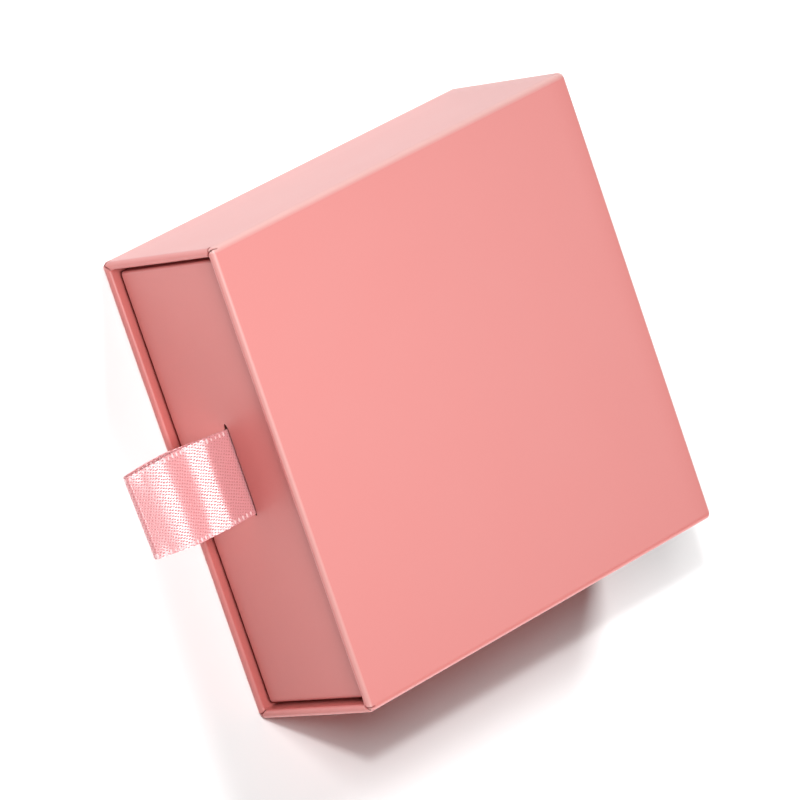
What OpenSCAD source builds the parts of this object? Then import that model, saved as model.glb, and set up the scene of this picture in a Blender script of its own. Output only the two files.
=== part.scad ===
// Sliding drawer gift box: a paper-wrapped greyboard sleeve, closed at the back, that holds a tray
// with a satin ribbon loop to pull it by.
// The box lies flat: X runs across the mouth, Y from the mouth (-Y) to the closed back (+Y), and
// Z is up. The origin is the centre of the sleeve's underside. Millimetres.

/* [Sleeve] */
// Overall width of the sleeve, across its mouth
sleeve_w = 100; // [80:1:160]
// Overall depth of the sleeve, from its mouth to its back
sleeve_l = 105; // [80:1:180]
// Overall thickness of the sleeve
sleeve_t = 35; // [30:1:60]
// Thickness of the sleeve's greyboard
sleeve_board = 1.5; // [1:0.1:2.2]
// Outer radius of the four long edges
edge_r = 1.4; // [0.6:0.1:1.8]
// Outer radius of the edges round the mouth and the back
end_r = 0.9; // [0.6:0.1:1.4]
// Radius of the mouth's inner edge, where the paper turns in
lip_r = 0.7; // [0.4:0.05:0.9]
// Gap that each board leaves at a mitred fold
fold_gap = 0.02; // [0.01:0.01:0.1]

/* [Paper] */
// Thickness of the laminated wrapping and lining paper
paper = 0.2; // [0.12:0.01:0.3]
// How far the wrapping paper turns in at the mouth
turn_in = 15; // [8:0.5:25]
// How far the wrapping paper folds over the back
back_flap = 12; // [6:0.5:13]
// Bare margin round the sheet that covers the back
back_margin = 1.5; // [1:0.1:4]
// Room that the board leaves in the paper's rounded folds
fold_fit = 0.05; // [0.02:0.01:0.1]

/* [Joining tapes] */
// Thickness of the gummed paper tape
tape_t = 0.1; // [0.06:0.01:0.2]
// Width of the tape on each side of a joint
tape_w = 9; // [5:0.5:12]
// Distance that a tape stops short of an end of its joint
tape_short = 3; // [1:0.5:6]

/* [Drawer] */
// Thickness of the drawer's greyboard
drawer_board = 1.5; // [1:0.1:2.2]
// Radius of the drawer's outer edges
drawer_r = 0.7; // [0.5:0.05:1.2]
// Radius of the drawer's inner rim edge
rim_r = 0.6; // [0.35:0.05:0.9]
// Distance from the mouth back to the drawer's front
recess = 2; // [0.5:0.1:4]
// Running gap at each side of the drawer
run_side = 0.75; // [0.2:0.05:1]
// Running gap under the drawer
run_under = 0.35; // [0.1:0.05:0.6]
// Running gap over the drawer
run_over = 0.55; // [0.2:0.05:1]
// Gap behind the drawer when it is home
run_back = 0.6; // [0.3:0.1:2]

/* [Ribbon] */
// Width of the satin ribbon
ribbon_w = 19; // [10:0.5:25]
// Thickness of the ribbon
ribbon_t = 0.4; // [0.25:0.05:0.5]
// Distance that the loop stands out from the drawer's front
loop_reach = 24.5; // [15:0.5:40]
// Distance that the loop's fold hangs below the slit
loop_drop = 4; // [0:0.5:8]
// Swell of each layer towards the fold
loop_swell = 4; // [2:0.25:4.5]
// Length of each glued ribbon end inside the drawer
tail = 7; // [4:0.5:8]
// Slit length beyond the ribbon's width
slit_spare = 1; // [0.4:0.1:3]
// Height of the slit
slit_gap = 1.2; // [1.1:0.1:2]
// Sideways place of the slit, from the middle of the drawer's front
slit_x = -3; // [-10:0.5:10]
// Height of the slit above the middle of the drawer's front
slit_up = 0.8; // [-1.5:0.1:1.5]
// Sideways place of the ribbon in its slit
ribbon_shift = 0.35; // [-0.2:0.05:0.4]
// Distance from the drawer's front to the line that the loop bends about
bend_out = 0.6; // [0.55:0.05:1.5]
// Margin of the paper patch round the glued ribbon ends
patch_margin = 2.5; // [1:0.5:3]

/* [Hidden] */
$fn = 48;

// Length by which a cutting shape passes the face that it opens
past = 1;
// Air between the two layers of the ribbon where they lie together
layer_gap = 0.04;
// Steps along each side of the loop, and the step at which its two layers part
loop_steps = 18;
loop_part = 3;
// Angle between the points of the loop's round root
nose_step = 15;

paper_colour = [0.93, 0.60, 0.58];
board_colour = [0.62, 0.59, 0.55];
tape_colour = [0.76, 0.62, 0.43];
ribbon_colour = [0.96, 0.72, 0.74];

// The sleeve's skin, from its mouth to the flaps that the back sheet covers
sleeve_lo = [-sleeve_w / 2, -sleeve_l / 2, 0];
sleeve_hi = [sleeve_w / 2, sleeve_l / 2 - paper, sleeve_t];
// The space inside the skin, which the boards fill out to
core_lo = sleeve_lo + [paper, paper, paper];
core_hi = sleeve_hi - [paper, paper, paper];
// A finished wall: paper, board, paper
sleeve_wall = sleeve_board + 2 * paper;
bore_w = sleeve_w - 2 * sleeve_wall;
bore_t = sleeve_t - 2 * sleeve_wall;
bore_l = sleeve_hi.y - sleeve_wall - sleeve_lo.y;

// The drawer's skin
drawer_wall = drawer_board + 2 * paper;
drawer_lo = [-bore_w / 2 + run_side, sleeve_lo.y + recess, sleeve_wall + run_under];
drawer_hi = [bore_w / 2 - run_side, sleeve_lo.y + bore_l - run_back, sleeve_t - sleeve_wall - run_over];
drawer_core_lo = drawer_lo + [paper, paper, paper];
drawer_core_hi = drawer_hi - [paper, paper, paper];
drawer_w = drawer_hi.x - drawer_lo.x;
drawer_l = drawer_hi.y - drawer_lo.y;
drawer_mid = (drawer_lo + drawer_hi) / 2;
floor_top = drawer_core_lo.z + drawer_board;
tray_depth = drawer_hi.z - floor_top;

// The ribbon in its slit: half the thickness of its two layers, and the line that the loop bends about
ribbon_half = ribbon_t + layer_gap / 2;
ribbon_lo_x = slit_x + ribbon_shift - ribbon_w / 2;
ribbon_hi_x = slit_x + ribbon_shift + ribbon_w / 2;
slit_z = drawer_mid.z + slit_up;
bend_y = drawer_lo.y - bend_out;
loop_len = loop_reach - bend_out;
inner_face = drawer_lo.y + drawer_wall;

// ---------- shapes ----------

// A plain block between two opposite corners
module block(lo, hi) {
    translate(lo) cube(hi - lo);
}

// A rectangle about the origin with true arcs at its corners
module round_rect(w, h, r) {
    square([w - 2 * r, h], center = true);
    square([w, h - 2 * r], center = true);
    for (sx = [-1, 1], sy = [-1, 1])
        translate([sx * (w / 2 - r), sy * (h / 2 - r)]) circle(r);
}

// A block with rounded edges: side_r on the four along Y, cap_r on all the others
module soft_block(lo, hi, side_r, cap_r) {
    size = hi - lo;
    mid = (lo + hi) / 2;
    intersection() {
        translate([mid.x, hi.y, mid.z]) rotate([90, 0, 0])
            linear_extrude(size.y) round_rect(size.x, size.z, side_r);
        translate([mid.x, mid.y, lo.z])
            linear_extrude(size.z) round_rect(size.x, size.y, cap_r);
        translate([lo.x, mid.y, mid.z]) rotate([90, 0, 90])
            linear_extrude(size.x) round_rect(size.y, size.z, cap_r);
    }
}

// The outline of a pocket of width w under the line y = 0, whose mouth flares over a round lip
module flared_outline(w, depth, r) {
    translate([-w / 2, -depth]) square([w, depth + past]);
    difference() {
        translate([-w / 2 - r, -r]) square([w + 2 * r, r + past]);
        for (s = [-1, 1]) translate([s * (w / 2 + r), -r]) circle(r);
    }
}

// A pocket that opens upwards at z = 0, with its flared lips mitred at the corners
module flared_pocket(w, l, depth, r) {
    intersection() {
        translate([0, l / 2 + r, 0]) rotate([90, 0, 0])
            linear_extrude(l + 2 * r) flared_outline(w, depth, r);
        translate([-w / 2 - r, 0, 0]) rotate([90, 0, 90])
            linear_extrude(w + 2 * r) flared_outline(l, depth, r);
    }
}

// ---------- sleeve ----------

module sleeve_skin() {
    soft_block(sleeve_lo, sleeve_hi, edge_r, end_r);
}

// The inside of the skin, drawn in by inset; fit eases its rounded edges
module sleeve_core(inset = 0, fit = 0) {
    lap = [inset, inset, inset];
    soft_block(core_lo + lap, core_hi - lap, edge_r - paper - inset + fit, end_r - paper - inset + fit);
}

// The finished bore, or with lining = paper the hollow between the bare boards
module sleeve_bore(lining = 0, fit = 0) {
    translate([0, sleeve_lo.y + lining, sleeve_t / 2]) rotate([90, 0, 0])
        flared_pocket(bore_w + 2 * lining, bore_t + 2 * lining, bore_l, lip_r - lining + fit);
}

// Everything from the mouth back to where the turned-in paper ends
module turn_in_zone() {
    block(sleeve_lo - [past, past, past], [sleeve_hi.x + past, sleeve_lo.y + turn_in, sleeve_t + past]);
}

// The lower left edge, where the folded strip of boards is closed
module seam_window() {
    block([core_lo.x - past, core_lo.y + tape_short, core_lo.z - past],
          [core_lo.x + tape_w, core_hi.y - tape_w - tape_short, core_lo.z + tape_w]);
}

// The upper and lower back edges, where the back board is held between the walls
module back_windows() {
    reach = core_hi.x - tape_w - tape_short;
    front = core_hi.y - tape_w;
    back = core_hi.y + past;
    block([-reach, front, core_lo.z - past], [reach, back, core_lo.z + tape_w]);
    block([-reach, front, core_hi.z - tape_w], [reach, back, core_hi.z + past]);
}

// The layer of a window's board that its tape is pressed into, so that the paper lies flat over it
module sleeve_tape_recess() {
    difference() {
        children();
        sleeve_core(tape_t, fold_fit);
    }
}

// The tape that fills such a recess
module sleeve_tape() {
    color(tape_colour) intersection() {
        sleeve_core(0, fold_fit);
        sleeve_tape_recess() children();
    }
}

module sleeve_tape_cuts() {
    sleeve_tape_recess() seam_window();
    sleeve_tape_recess() back_windows();
}

// One mitred board of the folded strip: width w across, lying under its own outer face at z = 0
module mitred_strip(w) {
    half = w / 2 - fold_gap;
    translate([0, core_hi.y, 0]) rotate([90, 0, 0])
        linear_extrude(core_hi.y - core_lo.y)
            polygon([[-half, 0], [half, 0], [half - sleeve_board, -sleeve_board],
                     [-half + sleeve_board, -sleeve_board]]);
}

// A strip turned about the sleeve's long axis and trimmed to the rounded edges, lip and tapes
module sleeve_panel(turn, w, out) {
    color(board_colour) difference() {
        intersection() {
            translate([0, 0, sleeve_t / 2]) rotate([0, turn, 0]) translate([0, 0, out]) mitred_strip(w);
            sleeve_core(0, fold_fit);
        }
        sleeve_bore(paper, fold_fit);
        sleeve_tape_cuts();
    }
}

module sleeve_top_board() {
    sleeve_panel(0, core_hi.x - core_lo.x, (core_hi.z - core_lo.z) / 2);
}

module sleeve_bottom_board() {
    sleeve_panel(180, core_hi.x - core_lo.x, (core_hi.z - core_lo.z) / 2);
}

module sleeve_left_board() {
    sleeve_panel(-90, core_hi.z - core_lo.z, core_hi.x);
}

module sleeve_right_board() {
    sleeve_panel(90, core_hi.z - core_lo.z, core_hi.x);
}

// The back board stands between the four walls
module sleeve_back_board() {
    color(board_colour) difference() {
        block([core_lo.x + sleeve_board, core_hi.y - sleeve_board, core_lo.z + sleeve_board],
              [core_hi.x - sleeve_board, core_hi.y, core_hi.z - sleeve_board]);
        sleeve_tape_cuts();
    }
}

module sleeve_seam_tape() {
    sleeve_tape() seam_window();
}

module sleeve_back_tapes() {
    sleeve_tape() back_windows();
}

// One sheet: round the four walls, over the mouth's edge and inwards, and over the back as flaps
module sleeve_wrap() {
    color(paper_colour) difference() {
        sleeve_skin();
        difference() {
            sleeve_core();
            intersection() {
                sleeve_bore(paper);
                turn_in_zone();
            }
        }
        sleeve_bore();
        block([sleeve_lo.x + back_flap, core_hi.y - past, sleeve_lo.z + back_flap],
              [sleeve_hi.x - back_flap, sleeve_hi.y + past, sleeve_hi.z - back_flap]);
    }
}

// Lines the four walls behind the turned-in paper, and the inside of the back
module sleeve_liner() {
    color(paper_colour) difference() {
        sleeve_bore(paper);
        sleeve_bore();
        turn_in_zone();
    }
}

module sleeve_back_sheet() {
    color(paper_colour)
        block([sleeve_lo.x + back_margin, sleeve_hi.y, sleeve_lo.z + back_margin],
              [sleeve_hi.x - back_margin, sleeve_hi.y + paper, sleeve_hi.z - back_margin]);
}

// ---------- drawer ----------

module drawer_skin() {
    soft_block(drawer_lo, drawer_hi, drawer_r, drawer_r);
}

// The inside of the skin, drawn in by inset; fit eases its rounded edges
module drawer_core(inset = 0, fit = 0) {
    lap = [inset, inset, inset];
    r = drawer_r - paper - inset + fit;
    soft_block(drawer_core_lo + lap, drawer_core_hi - lap, r, r);
}

// The tray's hollow down to its base board, or with lining = paper the one between the bare boards
module drawer_bore(lining = 0, fit = 0) {
    translate([drawer_mid.x, drawer_mid.y, drawer_hi.z - lining])
        flared_pocket(drawer_w - 2 * (drawer_wall - lining), drawer_l - 2 * (drawer_wall - lining),
                      tray_depth - lining, rim_r - lining + fit);
}

// The slit through the front wall for the ribbon
module ribbon_slit() {
    half = (ribbon_w + slit_spare) / 2;
    block([slit_x - half, drawer_lo.y - past, slit_z - slit_gap / 2],
          [slit_x + half, inner_face + past, slit_z + slit_gap / 2]);
}

// The tray's four upright corners, where tapes hold its walls together
module corner_windows() {
    size = [tape_w + past, tape_w + past, drawer_hi.z - drawer_lo.z - 2 * tape_short];
    out = past - paper;
    for (sx = [-1, 1], sy = [-1, 1])
        translate([drawer_mid.x + sx * (drawer_w / 2 + out - size.x / 2),
                   drawer_mid.y + sy * (drawer_l / 2 + out - size.y / 2),
                   drawer_mid.z])
            cube(size, center = true);
}

// The layer of the boards that the corner tapes are pressed into
module corner_tape_recess() {
    difference() {
        corner_windows();
        drawer_core(tape_t, fold_fit);
    }
}

// A board of the tray between two corners, trimmed to the rounded edges, rim, tapes and slit
module drawer_panel(lo, hi) {
    color(board_colour) difference() {
        intersection() {
            block(lo, hi);
            drawer_core(0, fold_fit);
        }
        drawer_bore(paper, fold_fit);
        corner_tape_recess();
        ribbon_slit();
    }
}

// The base board lies between the four walls
module drawer_base_board() {
    inset = [drawer_board, drawer_board, 0];
    drawer_panel(drawer_core_lo + inset, [drawer_core_hi.x, drawer_core_hi.y, floor_top] - inset);
}

module drawer_front_board() {
    drawer_panel(drawer_core_lo, [drawer_core_hi.x, drawer_core_lo.y + drawer_board, drawer_core_hi.z]);
}

module drawer_back_board() {
    drawer_panel([drawer_core_lo.x, drawer_core_hi.y - drawer_board, drawer_core_lo.z], drawer_core_hi);
}

// The side boards stand between the front and back boards
module drawer_left_board() {
    drawer_panel(drawer_core_lo + [0, drawer_board, 0],
                 [drawer_core_lo.x + drawer_board, drawer_core_hi.y - drawer_board, drawer_core_hi.z]);
}

module drawer_right_board() {
    drawer_panel([drawer_core_hi.x - drawer_board, drawer_core_lo.y + drawer_board, drawer_core_lo.z],
                 drawer_core_hi - [0, drawer_board, 0]);
}

module drawer_corner_tapes() {
    color(tape_colour) intersection() {
        drawer_core(0, fold_fit);
        corner_tape_recess();
    }
}

// One sheet: under the base, up the four walls, over the rim and down the inside to the base
module drawer_wrap() {
    color(paper_colour) difference() {
        drawer_skin();
        difference() {
            drawer_core();
            drawer_bore(paper);
        }
        drawer_bore();
        ribbon_slit();
    }
}

module drawer_base_liner() {
    color(paper_colour)
        block([drawer_lo.x + drawer_wall, drawer_lo.y + drawer_wall, floor_top],
              [drawer_hi.x - drawer_wall, drawer_hi.y - drawer_wall, floor_top + paper]);
}

// ---------- ribbon ----------

// The two ends: each passes through the slit and is glued to the inside of the front wall
module ribbon_ends() {
    glued_face = inner_face + ribbon_t;
    start = layer_gap / 2;
    color(ribbon_colour) for (s = [0, 1])
        translate([0, 0, slit_z]) mirror([0, 0, s]) {
            block([ribbon_lo_x, drawer_lo.y, start], [ribbon_hi_x, glued_face, ribbon_half]);
            block([ribbon_lo_x, inner_face, start], [ribbon_hi_x, glued_face, ribbon_half + tail]);
        }
}

// A paper patch over the glued ends, stuck down all round them
module ribbon_patch() {
    half = ribbon_half + tail;
    color(paper_colour) difference() {
        block([ribbon_lo_x - patch_margin, inner_face, slit_z - half - patch_margin],
              [ribbon_hi_x + patch_margin, inner_face + ribbon_t + paper, slit_z + half + patch_margin]);
        block([ribbon_lo_x, inner_face - past, slit_z - half],
              [ribbon_hi_x, inner_face + ribbon_t, slit_z + half]);
    }
}

// A point on the outside of the loop's upper (s = 1) or lower (s = -1) layer, as [out, up]
function loop_point(t, s) =
    pow(1 - t, 3) * [0, s * ribbon_half]
    + 3 * pow(1 - t, 2) * t * [loop_len / 2, s * ribbon_half]
    + 3 * (1 - t) * pow(t, 2) * [loop_len, s * loop_swell - loop_drop]
    + pow(t, 3) * [loop_len, -loop_drop];

// The direction of that outline at t
function loop_way(t, s) =
    pow(1 - t, 2) * [loop_len / 2, 0]
    + 2 * (1 - t) * t * [loop_len / 2, s * (loop_swell - ribbon_half) - loop_drop]
    + pow(t, 2) * [0, -s * loop_swell];

// The same layer's inner face, one ribbon's thickness in
function loop_inside(t, s) =
    let (way = loop_way(t, s)) loop_point(t, s) + s * ribbon_t / norm(way) * [way.y, -way.x];

// The closed loop, which bends about the line at bend_y in front of the slit
module ribbon_loop() {
    root = [for (a = [270 : -nose_step : 90]) ribbon_half * [cos(a), sin(a)]];
    upper = [for (i = [1 : loop_steps]) loop_point(i / loop_steps, 1)];
    lower = [for (i = [loop_steps - 1 : -1 : 1]) loop_point(i / loop_steps, -1)];
    upper_in = [for (i = [loop_part : loop_steps]) loop_inside(i / loop_steps, 1)];
    lower_in = [for (i = [loop_steps - 1 : -1 : loop_part]) loop_inside(i / loop_steps, -1)];
    color(ribbon_colour)
        translate([ribbon_hi_x, bend_y, slit_z]) rotate([90, 0, -90])
            linear_extrude(ribbon_w) difference() {
                polygon(concat(root, upper, lower));
                polygon(concat(upper_in, lower_in));
            }
}

sleeve_top_board();
sleeve_bottom_board();
sleeve_left_board();
sleeve_right_board();
sleeve_back_board();
sleeve_seam_tape();
sleeve_back_tapes();
sleeve_wrap();
sleeve_liner();
sleeve_back_sheet();
drawer_base_board();
drawer_front_board();
drawer_back_board();
drawer_left_board();
drawer_right_board();
drawer_corner_tapes();
drawer_wrap();
drawer_base_liner();
ribbon_ends();
ribbon_patch();
ribbon_loop();
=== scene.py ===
"""Dresses the sliding drawer gift box: its wrapping paper, satin ribbon, boards, light and camera.

X runs across the mouth, Y from the mouth (-Y) to the closed back (+Y), and Z is up. Sizes are in
millimetres until a mesh is made. Blender's own lengths are metres.
"""

from __future__ import annotations

import logging
import math
from dataclasses import dataclass, field, replace
from enum import Enum
from typing import Callable, Iterable, Sequence

import bpy
import numpy as np
from mathutils import Matrix, Vector


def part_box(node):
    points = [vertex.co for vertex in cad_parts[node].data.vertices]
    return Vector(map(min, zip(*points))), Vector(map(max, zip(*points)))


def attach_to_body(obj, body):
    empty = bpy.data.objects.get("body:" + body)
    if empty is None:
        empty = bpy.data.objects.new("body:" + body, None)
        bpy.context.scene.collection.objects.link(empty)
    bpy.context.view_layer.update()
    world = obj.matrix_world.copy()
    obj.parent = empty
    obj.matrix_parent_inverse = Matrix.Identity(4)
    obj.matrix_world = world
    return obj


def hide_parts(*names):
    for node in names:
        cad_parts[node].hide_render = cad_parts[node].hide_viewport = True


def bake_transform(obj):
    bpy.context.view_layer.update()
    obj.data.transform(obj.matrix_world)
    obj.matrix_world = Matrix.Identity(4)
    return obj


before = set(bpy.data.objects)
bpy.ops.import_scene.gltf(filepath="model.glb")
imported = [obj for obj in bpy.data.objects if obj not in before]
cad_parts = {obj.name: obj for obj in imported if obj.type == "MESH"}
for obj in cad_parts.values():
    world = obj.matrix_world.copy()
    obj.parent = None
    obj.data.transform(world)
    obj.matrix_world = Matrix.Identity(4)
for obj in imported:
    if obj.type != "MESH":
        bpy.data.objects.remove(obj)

MM = 0.001
SHARP_ANGLE = 50.0
STEP_GROWTH = 1.45
QUARTER_TURN = math.pi / 2.0
FACING_SAMPLES = 200  # quads that show which way a skin faces
CROWDED = 0.3  # share of the longest step within which a wanted place drives out a plain one
STRAY_PEAK = 6.75  # brings out**2 * (1 - out) to 1 at its highest, two thirds of the way out
STITCH_STRAY = (0.85, 1.15)
BEAD = {"Segments": 8, "Rings": 6, "Radius": 0.5}
log = logging.getLogger("gift_box")

Pair = tuple[float, float]
Triple = tuple[float, float, float]


class Body(str, Enum):
    """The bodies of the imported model."""

    SLEEVE = "sleeve"
    DRAWER = "drawer"
    RIBBON = "ribbon"


class Slot(str, Enum):
    """Two material slot names, for the pink paper and the satin ribbon."""

    PAPER = "pink_paper"
    SATIN = "satin_ribbon"


class Reach(str, Enum):
    """What a softbox lights: the box with its ribbon, the box without it, the ribbon or the floor."""

    BOX = "box"
    PAPER = "paper"
    RIBBON = "ribbon"
    FLOOR = "floor"


def node_span(node: str) -> tuple[np.ndarray, np.ndarray]:
    """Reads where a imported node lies.

    Args:
        node: The node's name.

    Returns:
        Its lowest and highest corners, in millimetres.
    """
    low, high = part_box(node)
    return np.array(low) / MM, np.array(high) / MM


def smooth(value: np.ndarray, start: float, end: float) -> np.ndarray:
    """Eases from 0 at start to 1 at end.

    Args:
        value: The values to ease.
        start: Where the result leaves 0.
        end: Where the result reaches 1.

    Returns:
        An array like value, from 0 to 1.
    """
    t = np.clip((value - start) / (end - start), 0.0, 1.0)
    return t * t * (3.0 - 2.0 * t)


def bell(distance: np.ndarray, width: float) -> np.ndarray:
    """Falls softly from 1 at no distance to nearly 0 at twice the width."""
    return np.exp(-((distance / width) ** 2))


def graded(length: float, fine: float, fine_for: float, coarse: float) -> list[float]:
    """Places along a length that lie close at its start and spread out after it.

    Args:
        length: The length to divide.
        fine: The first step.
        fine_for: How far the first step is kept.
        coarse: The longest step.

    Returns:
        Rising places, without 0 and the length itself.
    """
    places: list[float] = []
    place, step = fine, fine
    while place < length - 0.5 * step:
        places.append(place)
        if place >= fine_for:
            step = min(step * STEP_GROWTH, coarse)
        place += step
    return places


def put_in_scene(name: str, data: bpy.types.ID) -> bpy.types.Object:
    """Makes an object of some data and puts it in the scene.

    Args:
        name: The object's name.
        data: Its mesh, light or camera.

    Returns:
        The object, at the origin.
    """
    thing = bpy.data.objects.new(name, data)
    bpy.context.scene.collection.objects.link(thing)
    return thing


# ---------------------------------------------------------------- meshes


@dataclass
class Skin:
    """A thin sheet with a real thickness, made from a grid of points on its outer face.

    Attributes:
        points: Places of the grid, rows by columns by 3, in millimetres.
        normals: Outward directions at the same points.
        closed: Whether the last column joins the first.
        capped: Whether the first row is filled by one flat face.
        holes: Quads that are left out, rows - 1 by columns.
        marks: Named values at the points, kept as attributes for the materials.
        flat: Places on the flat sheet, rows by columns by 2, kept as the UV map.
    """

    points: np.ndarray
    normals: np.ndarray
    closed: bool = True
    capped: bool = False
    holes: np.ndarray | None = None
    marks: dict[str, np.ndarray] = field(default_factory=dict)
    flat: np.ndarray | None = None

    def faces(self) -> list[tuple[int, ...]]:
        """Joins the points of the outer face.

        Returns:
            Its polygons, turned outwards.
        """
        rows, columns = self.points.shape[:2]
        found: list[tuple[int, ...]] = []
        for r in range(rows - 1):
            for c in range(columns if self.closed else columns - 1):
                if self.holes is not None and self.holes[r, c]:
                    continue
                n = (c + 1) % columns
                found.append((r * columns + c, r * columns + n, (r + 1) * columns + n, (r + 1) * columns + c))
        flat_points = self.points.reshape(-1, 3)
        facing = 0.0
        for a, b, c, d in found[:: max(1, len(found) // FACING_SAMPLES)]:
            across = np.cross(flat_points[c] - flat_points[a], flat_points[d] - flat_points[b])
            facing += float(np.dot(across, self.normals.reshape(-1, 3)[a]))
        if self.capped:
            found.append(tuple(range(columns - 1, -1, -1)))
        if facing < 0.0:
            found = [tuple(reversed(face)) for face in found]
        return found

    def build(self, name: str, thickness: float) -> bpy.types.Object:
        """Makes the closed sheet.

        Args:
            name: The piece's name.
            thickness: The sheet's thickness, in millimetres.

        Returns:
            The new object, at the origin.
        """
        outer = self.points.reshape(-1, 3)
        inner = outer - thickness * self.normals.reshape(-1, 3)
        count = len(outer)
        front = self.faces()
        edges = {(face[i - 1], face[i]) for face in front for i in range(len(face))}
        back = [tuple(i + count for i in reversed(face)) for face in front]
        rim = [(b, a, a + count, b + count) for a, b in edges if (b, a) not in edges]
        polygons = front + back + rim
        used = sorted({i for face in polygons for i in face})
        order = {old: new for new, old in enumerate(used)}
        corners = np.concatenate([outer, inner])[used] * MM
        mesh = bpy.data.meshes.new(name)
        mesh.from_pydata(corners.tolist(), [], [tuple(order[i] for i in face) for face in polygons])
        for mark, values in self.marks.items():
            both = np.tile(values.reshape(-1), 2)[used].astype(np.float32)
            mesh.attributes.new(mark, "FLOAT", "POINT").data.foreach_set("value", both)
        if self.flat is not None:
            both = np.tile(self.flat.reshape(-1, 2), (2, 1))[used]
            loops = np.empty(len(mesh.loops), dtype=np.int32)
            mesh.loops.foreach_get("vertex_index", loops)
            layer = mesh.uv_layers.new(name="flat")
            layer.data.foreach_set("uv", both[loops].astype(np.float32).reshape(-1))
        mesh.shade_smooth()
        mesh.set_sharp_from_angle(angle=math.radians(SHARP_ANGLE))
        mesh.validate()
        return put_in_scene(name, mesh)


@dataclass(frozen=True)
class Station:
    """One ring of a wrapped sheet.

    Attributes:
        inset: Distance in from the outer face.
        along: Place on the axis that the rings run along.
        lean: Angle of the outward direction from the wall's own towards the axis, in degrees.
        unrolled: Distance along the paper from the start of the mouth's fold, below 0 on the walls. The
            drawer's rings don't need it.
        fold: How sharply the paper is folded here, from 0 to 1.
    """

    inset: float
    along: float
    lean: float
    unrolled: float
    fold: float = 0.0


def fold_arc(inset: float, along: float, radius: float, start: float, unrolled: float, turn: int,
             steps: int) -> list[Station]:
    """Stations round a quarter fold.

    Args:
        inset: Inset of the fold's centre.
        along: Axis place of the fold's centre.
        radius: The fold's radius.
        start: The lean where the fold starts, in degrees.
        unrolled: The unrolled place where the fold starts.
        turn: -1 or 1, the way that the lean changes.
        steps: How many steps the fold is made of.

    Returns:
        Stations after the start, the end included.
    """
    found = []
    for i in range(1, steps + 1):
        lean = start + turn * 90.0 * i / steps
        angle = math.radians(lean)
        arc = radius * QUARTER_TURN * i / steps
        fold = math.sin(math.pi * i / steps)
        found.append(Station(inset - radius * math.cos(angle), along + radius * math.sin(angle), lean,
                             unrolled + arc, fold))
    return found


@dataclass(frozen=True)
class Outline:
    """A rounded rectangle whose points match from ring to ring.

    Attributes:
        half: Half its width and half its height at inset 0.
        outer_radius: Corner radius at inset 0.
        inner_radius: Corner radius at the inset of a whole wall.
        wall: The wall's thickness.
        steady: How far from the middle the places on each side keep still from ring to ring.
        sides: Places on the sides across and up, from the middle.
        arc_steps: Steps round each corner.
    """

    half: Pair
    outer_radius: float
    inner_radius: float
    wall: float
    steady: Pair
    sides: tuple[list[float], list[float]]
    arc_steps: int

    def radius(self, inset: float) -> float:
        """The corner radius of the ring at an inset."""
        share = min(max(inset / self.wall, 0.0), 1.0)
        return self.outer_radius + (self.inner_radius - self.outer_radius) * share

    def ring(self, inset: float) -> tuple[np.ndarray, np.ndarray]:
        """Points round the outline at an inset.

        Args:
            inset: Distance in from the outer face.

        Returns:
            Places and outward directions, columns by 2.
        """
        radius = self.radius(inset)
        reach = [half - inset - radius for half in self.half]
        first_reach = [half - self.outer_radius for half in self.half]
        places: list[Pair] = []
        outwards: list[Pair] = []
        for quarter in range(4):
            signs = ((1, 1), (-1, 1), (-1, -1), (1, -1))[quarter]
            for i in range(self.arc_steps + 1):
                angle = math.radians(90.0 * (quarter + i / self.arc_steps))
                ray = (math.cos(angle), math.sin(angle))
                places.append(tuple(signs[k] * reach[k] + radius * ray[k] for k in range(2)))
                outwards.append(ray)
            axis = quarter % 2
            steady = self.steady[axis]
            squeeze = (reach[axis] - steady) / (first_reach[axis] - steady)
            ray = ((0, 1), (-1, 0), (0, -1), (1, 0))[quarter]
            level = ray[1 - axis] * (self.half[1 - axis] - inset)
            for place in self.sides[axis] if quarter > 1 else reversed(self.sides[axis]):
                beyond = max(abs(place) - steady, 0.0)
                moved = math.copysign(min(abs(place), steady) + beyond * squeeze, place)
                places.append((moved, level) if axis == 0 else (level, moved))
                outwards.append(ray)
        return np.array(places), np.array(outwards)

    def sweep(self, stations: Sequence[Station]) -> tuple[np.ndarray, ...]:
        """Points round the outline at every station.

        Args:
            stations: The stations, in order.

        Returns:
            Places and outward directions in the outline's plane, rows by columns by 2, the lean of each row
            in radians, and the places along the axis and the fold marks, rows by columns.
        """
        rings = [self.ring(s.inset) for s in stations]
        across = np.array([ring[0] for ring in rings])
        radial = np.array([ring[1] for ring in rings])
        lean = np.radians([s.lean for s in stations])[:, None]
        even = np.zeros(across.shape[:2])
        along = np.array([s.along for s in stations])[:, None] + even
        fold = np.array([s.fold for s in stations])[:, None] + even
        return across, radial, lean, along, fold


def corner_mark(radial: np.ndarray) -> np.ndarray:
    """How near to the middle of a rounded corner the outward directions point, from 0 to 1."""
    return np.abs(radial[..., 0] * radial[..., 1]) * 2.0


def side_places(half: float, radius: float, fine: float, fine_for: float, coarse: float,
                extra: Sequence[float] = ()) -> list[float]:
    """Places along one side of an outline, closest at its ends.

    Args:
        half: Half the side's length, corners included.
        radius: The corner radius.
        fine: The step next to a corner.
        fine_for: How far that step is kept.
        coarse: The longest step.
        extra: More places that are wanted.

    Returns:
        Rising places, from the side's middle.
    """
    reach = half - radius
    from_corner = graded(reach, fine, fine_for, coarse)
    places = {round(reach - p, 4) for p in from_corner} | {round(p - reach, 4) for p in from_corner}
    crowded = {p for p in places for e in extra
               if abs(p - e) < CROWDED * coarse and abs(p) < reach - fine_for}
    return sorted((places - crowded) | {round(e, 4) for e in extra} | {0.0})


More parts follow.
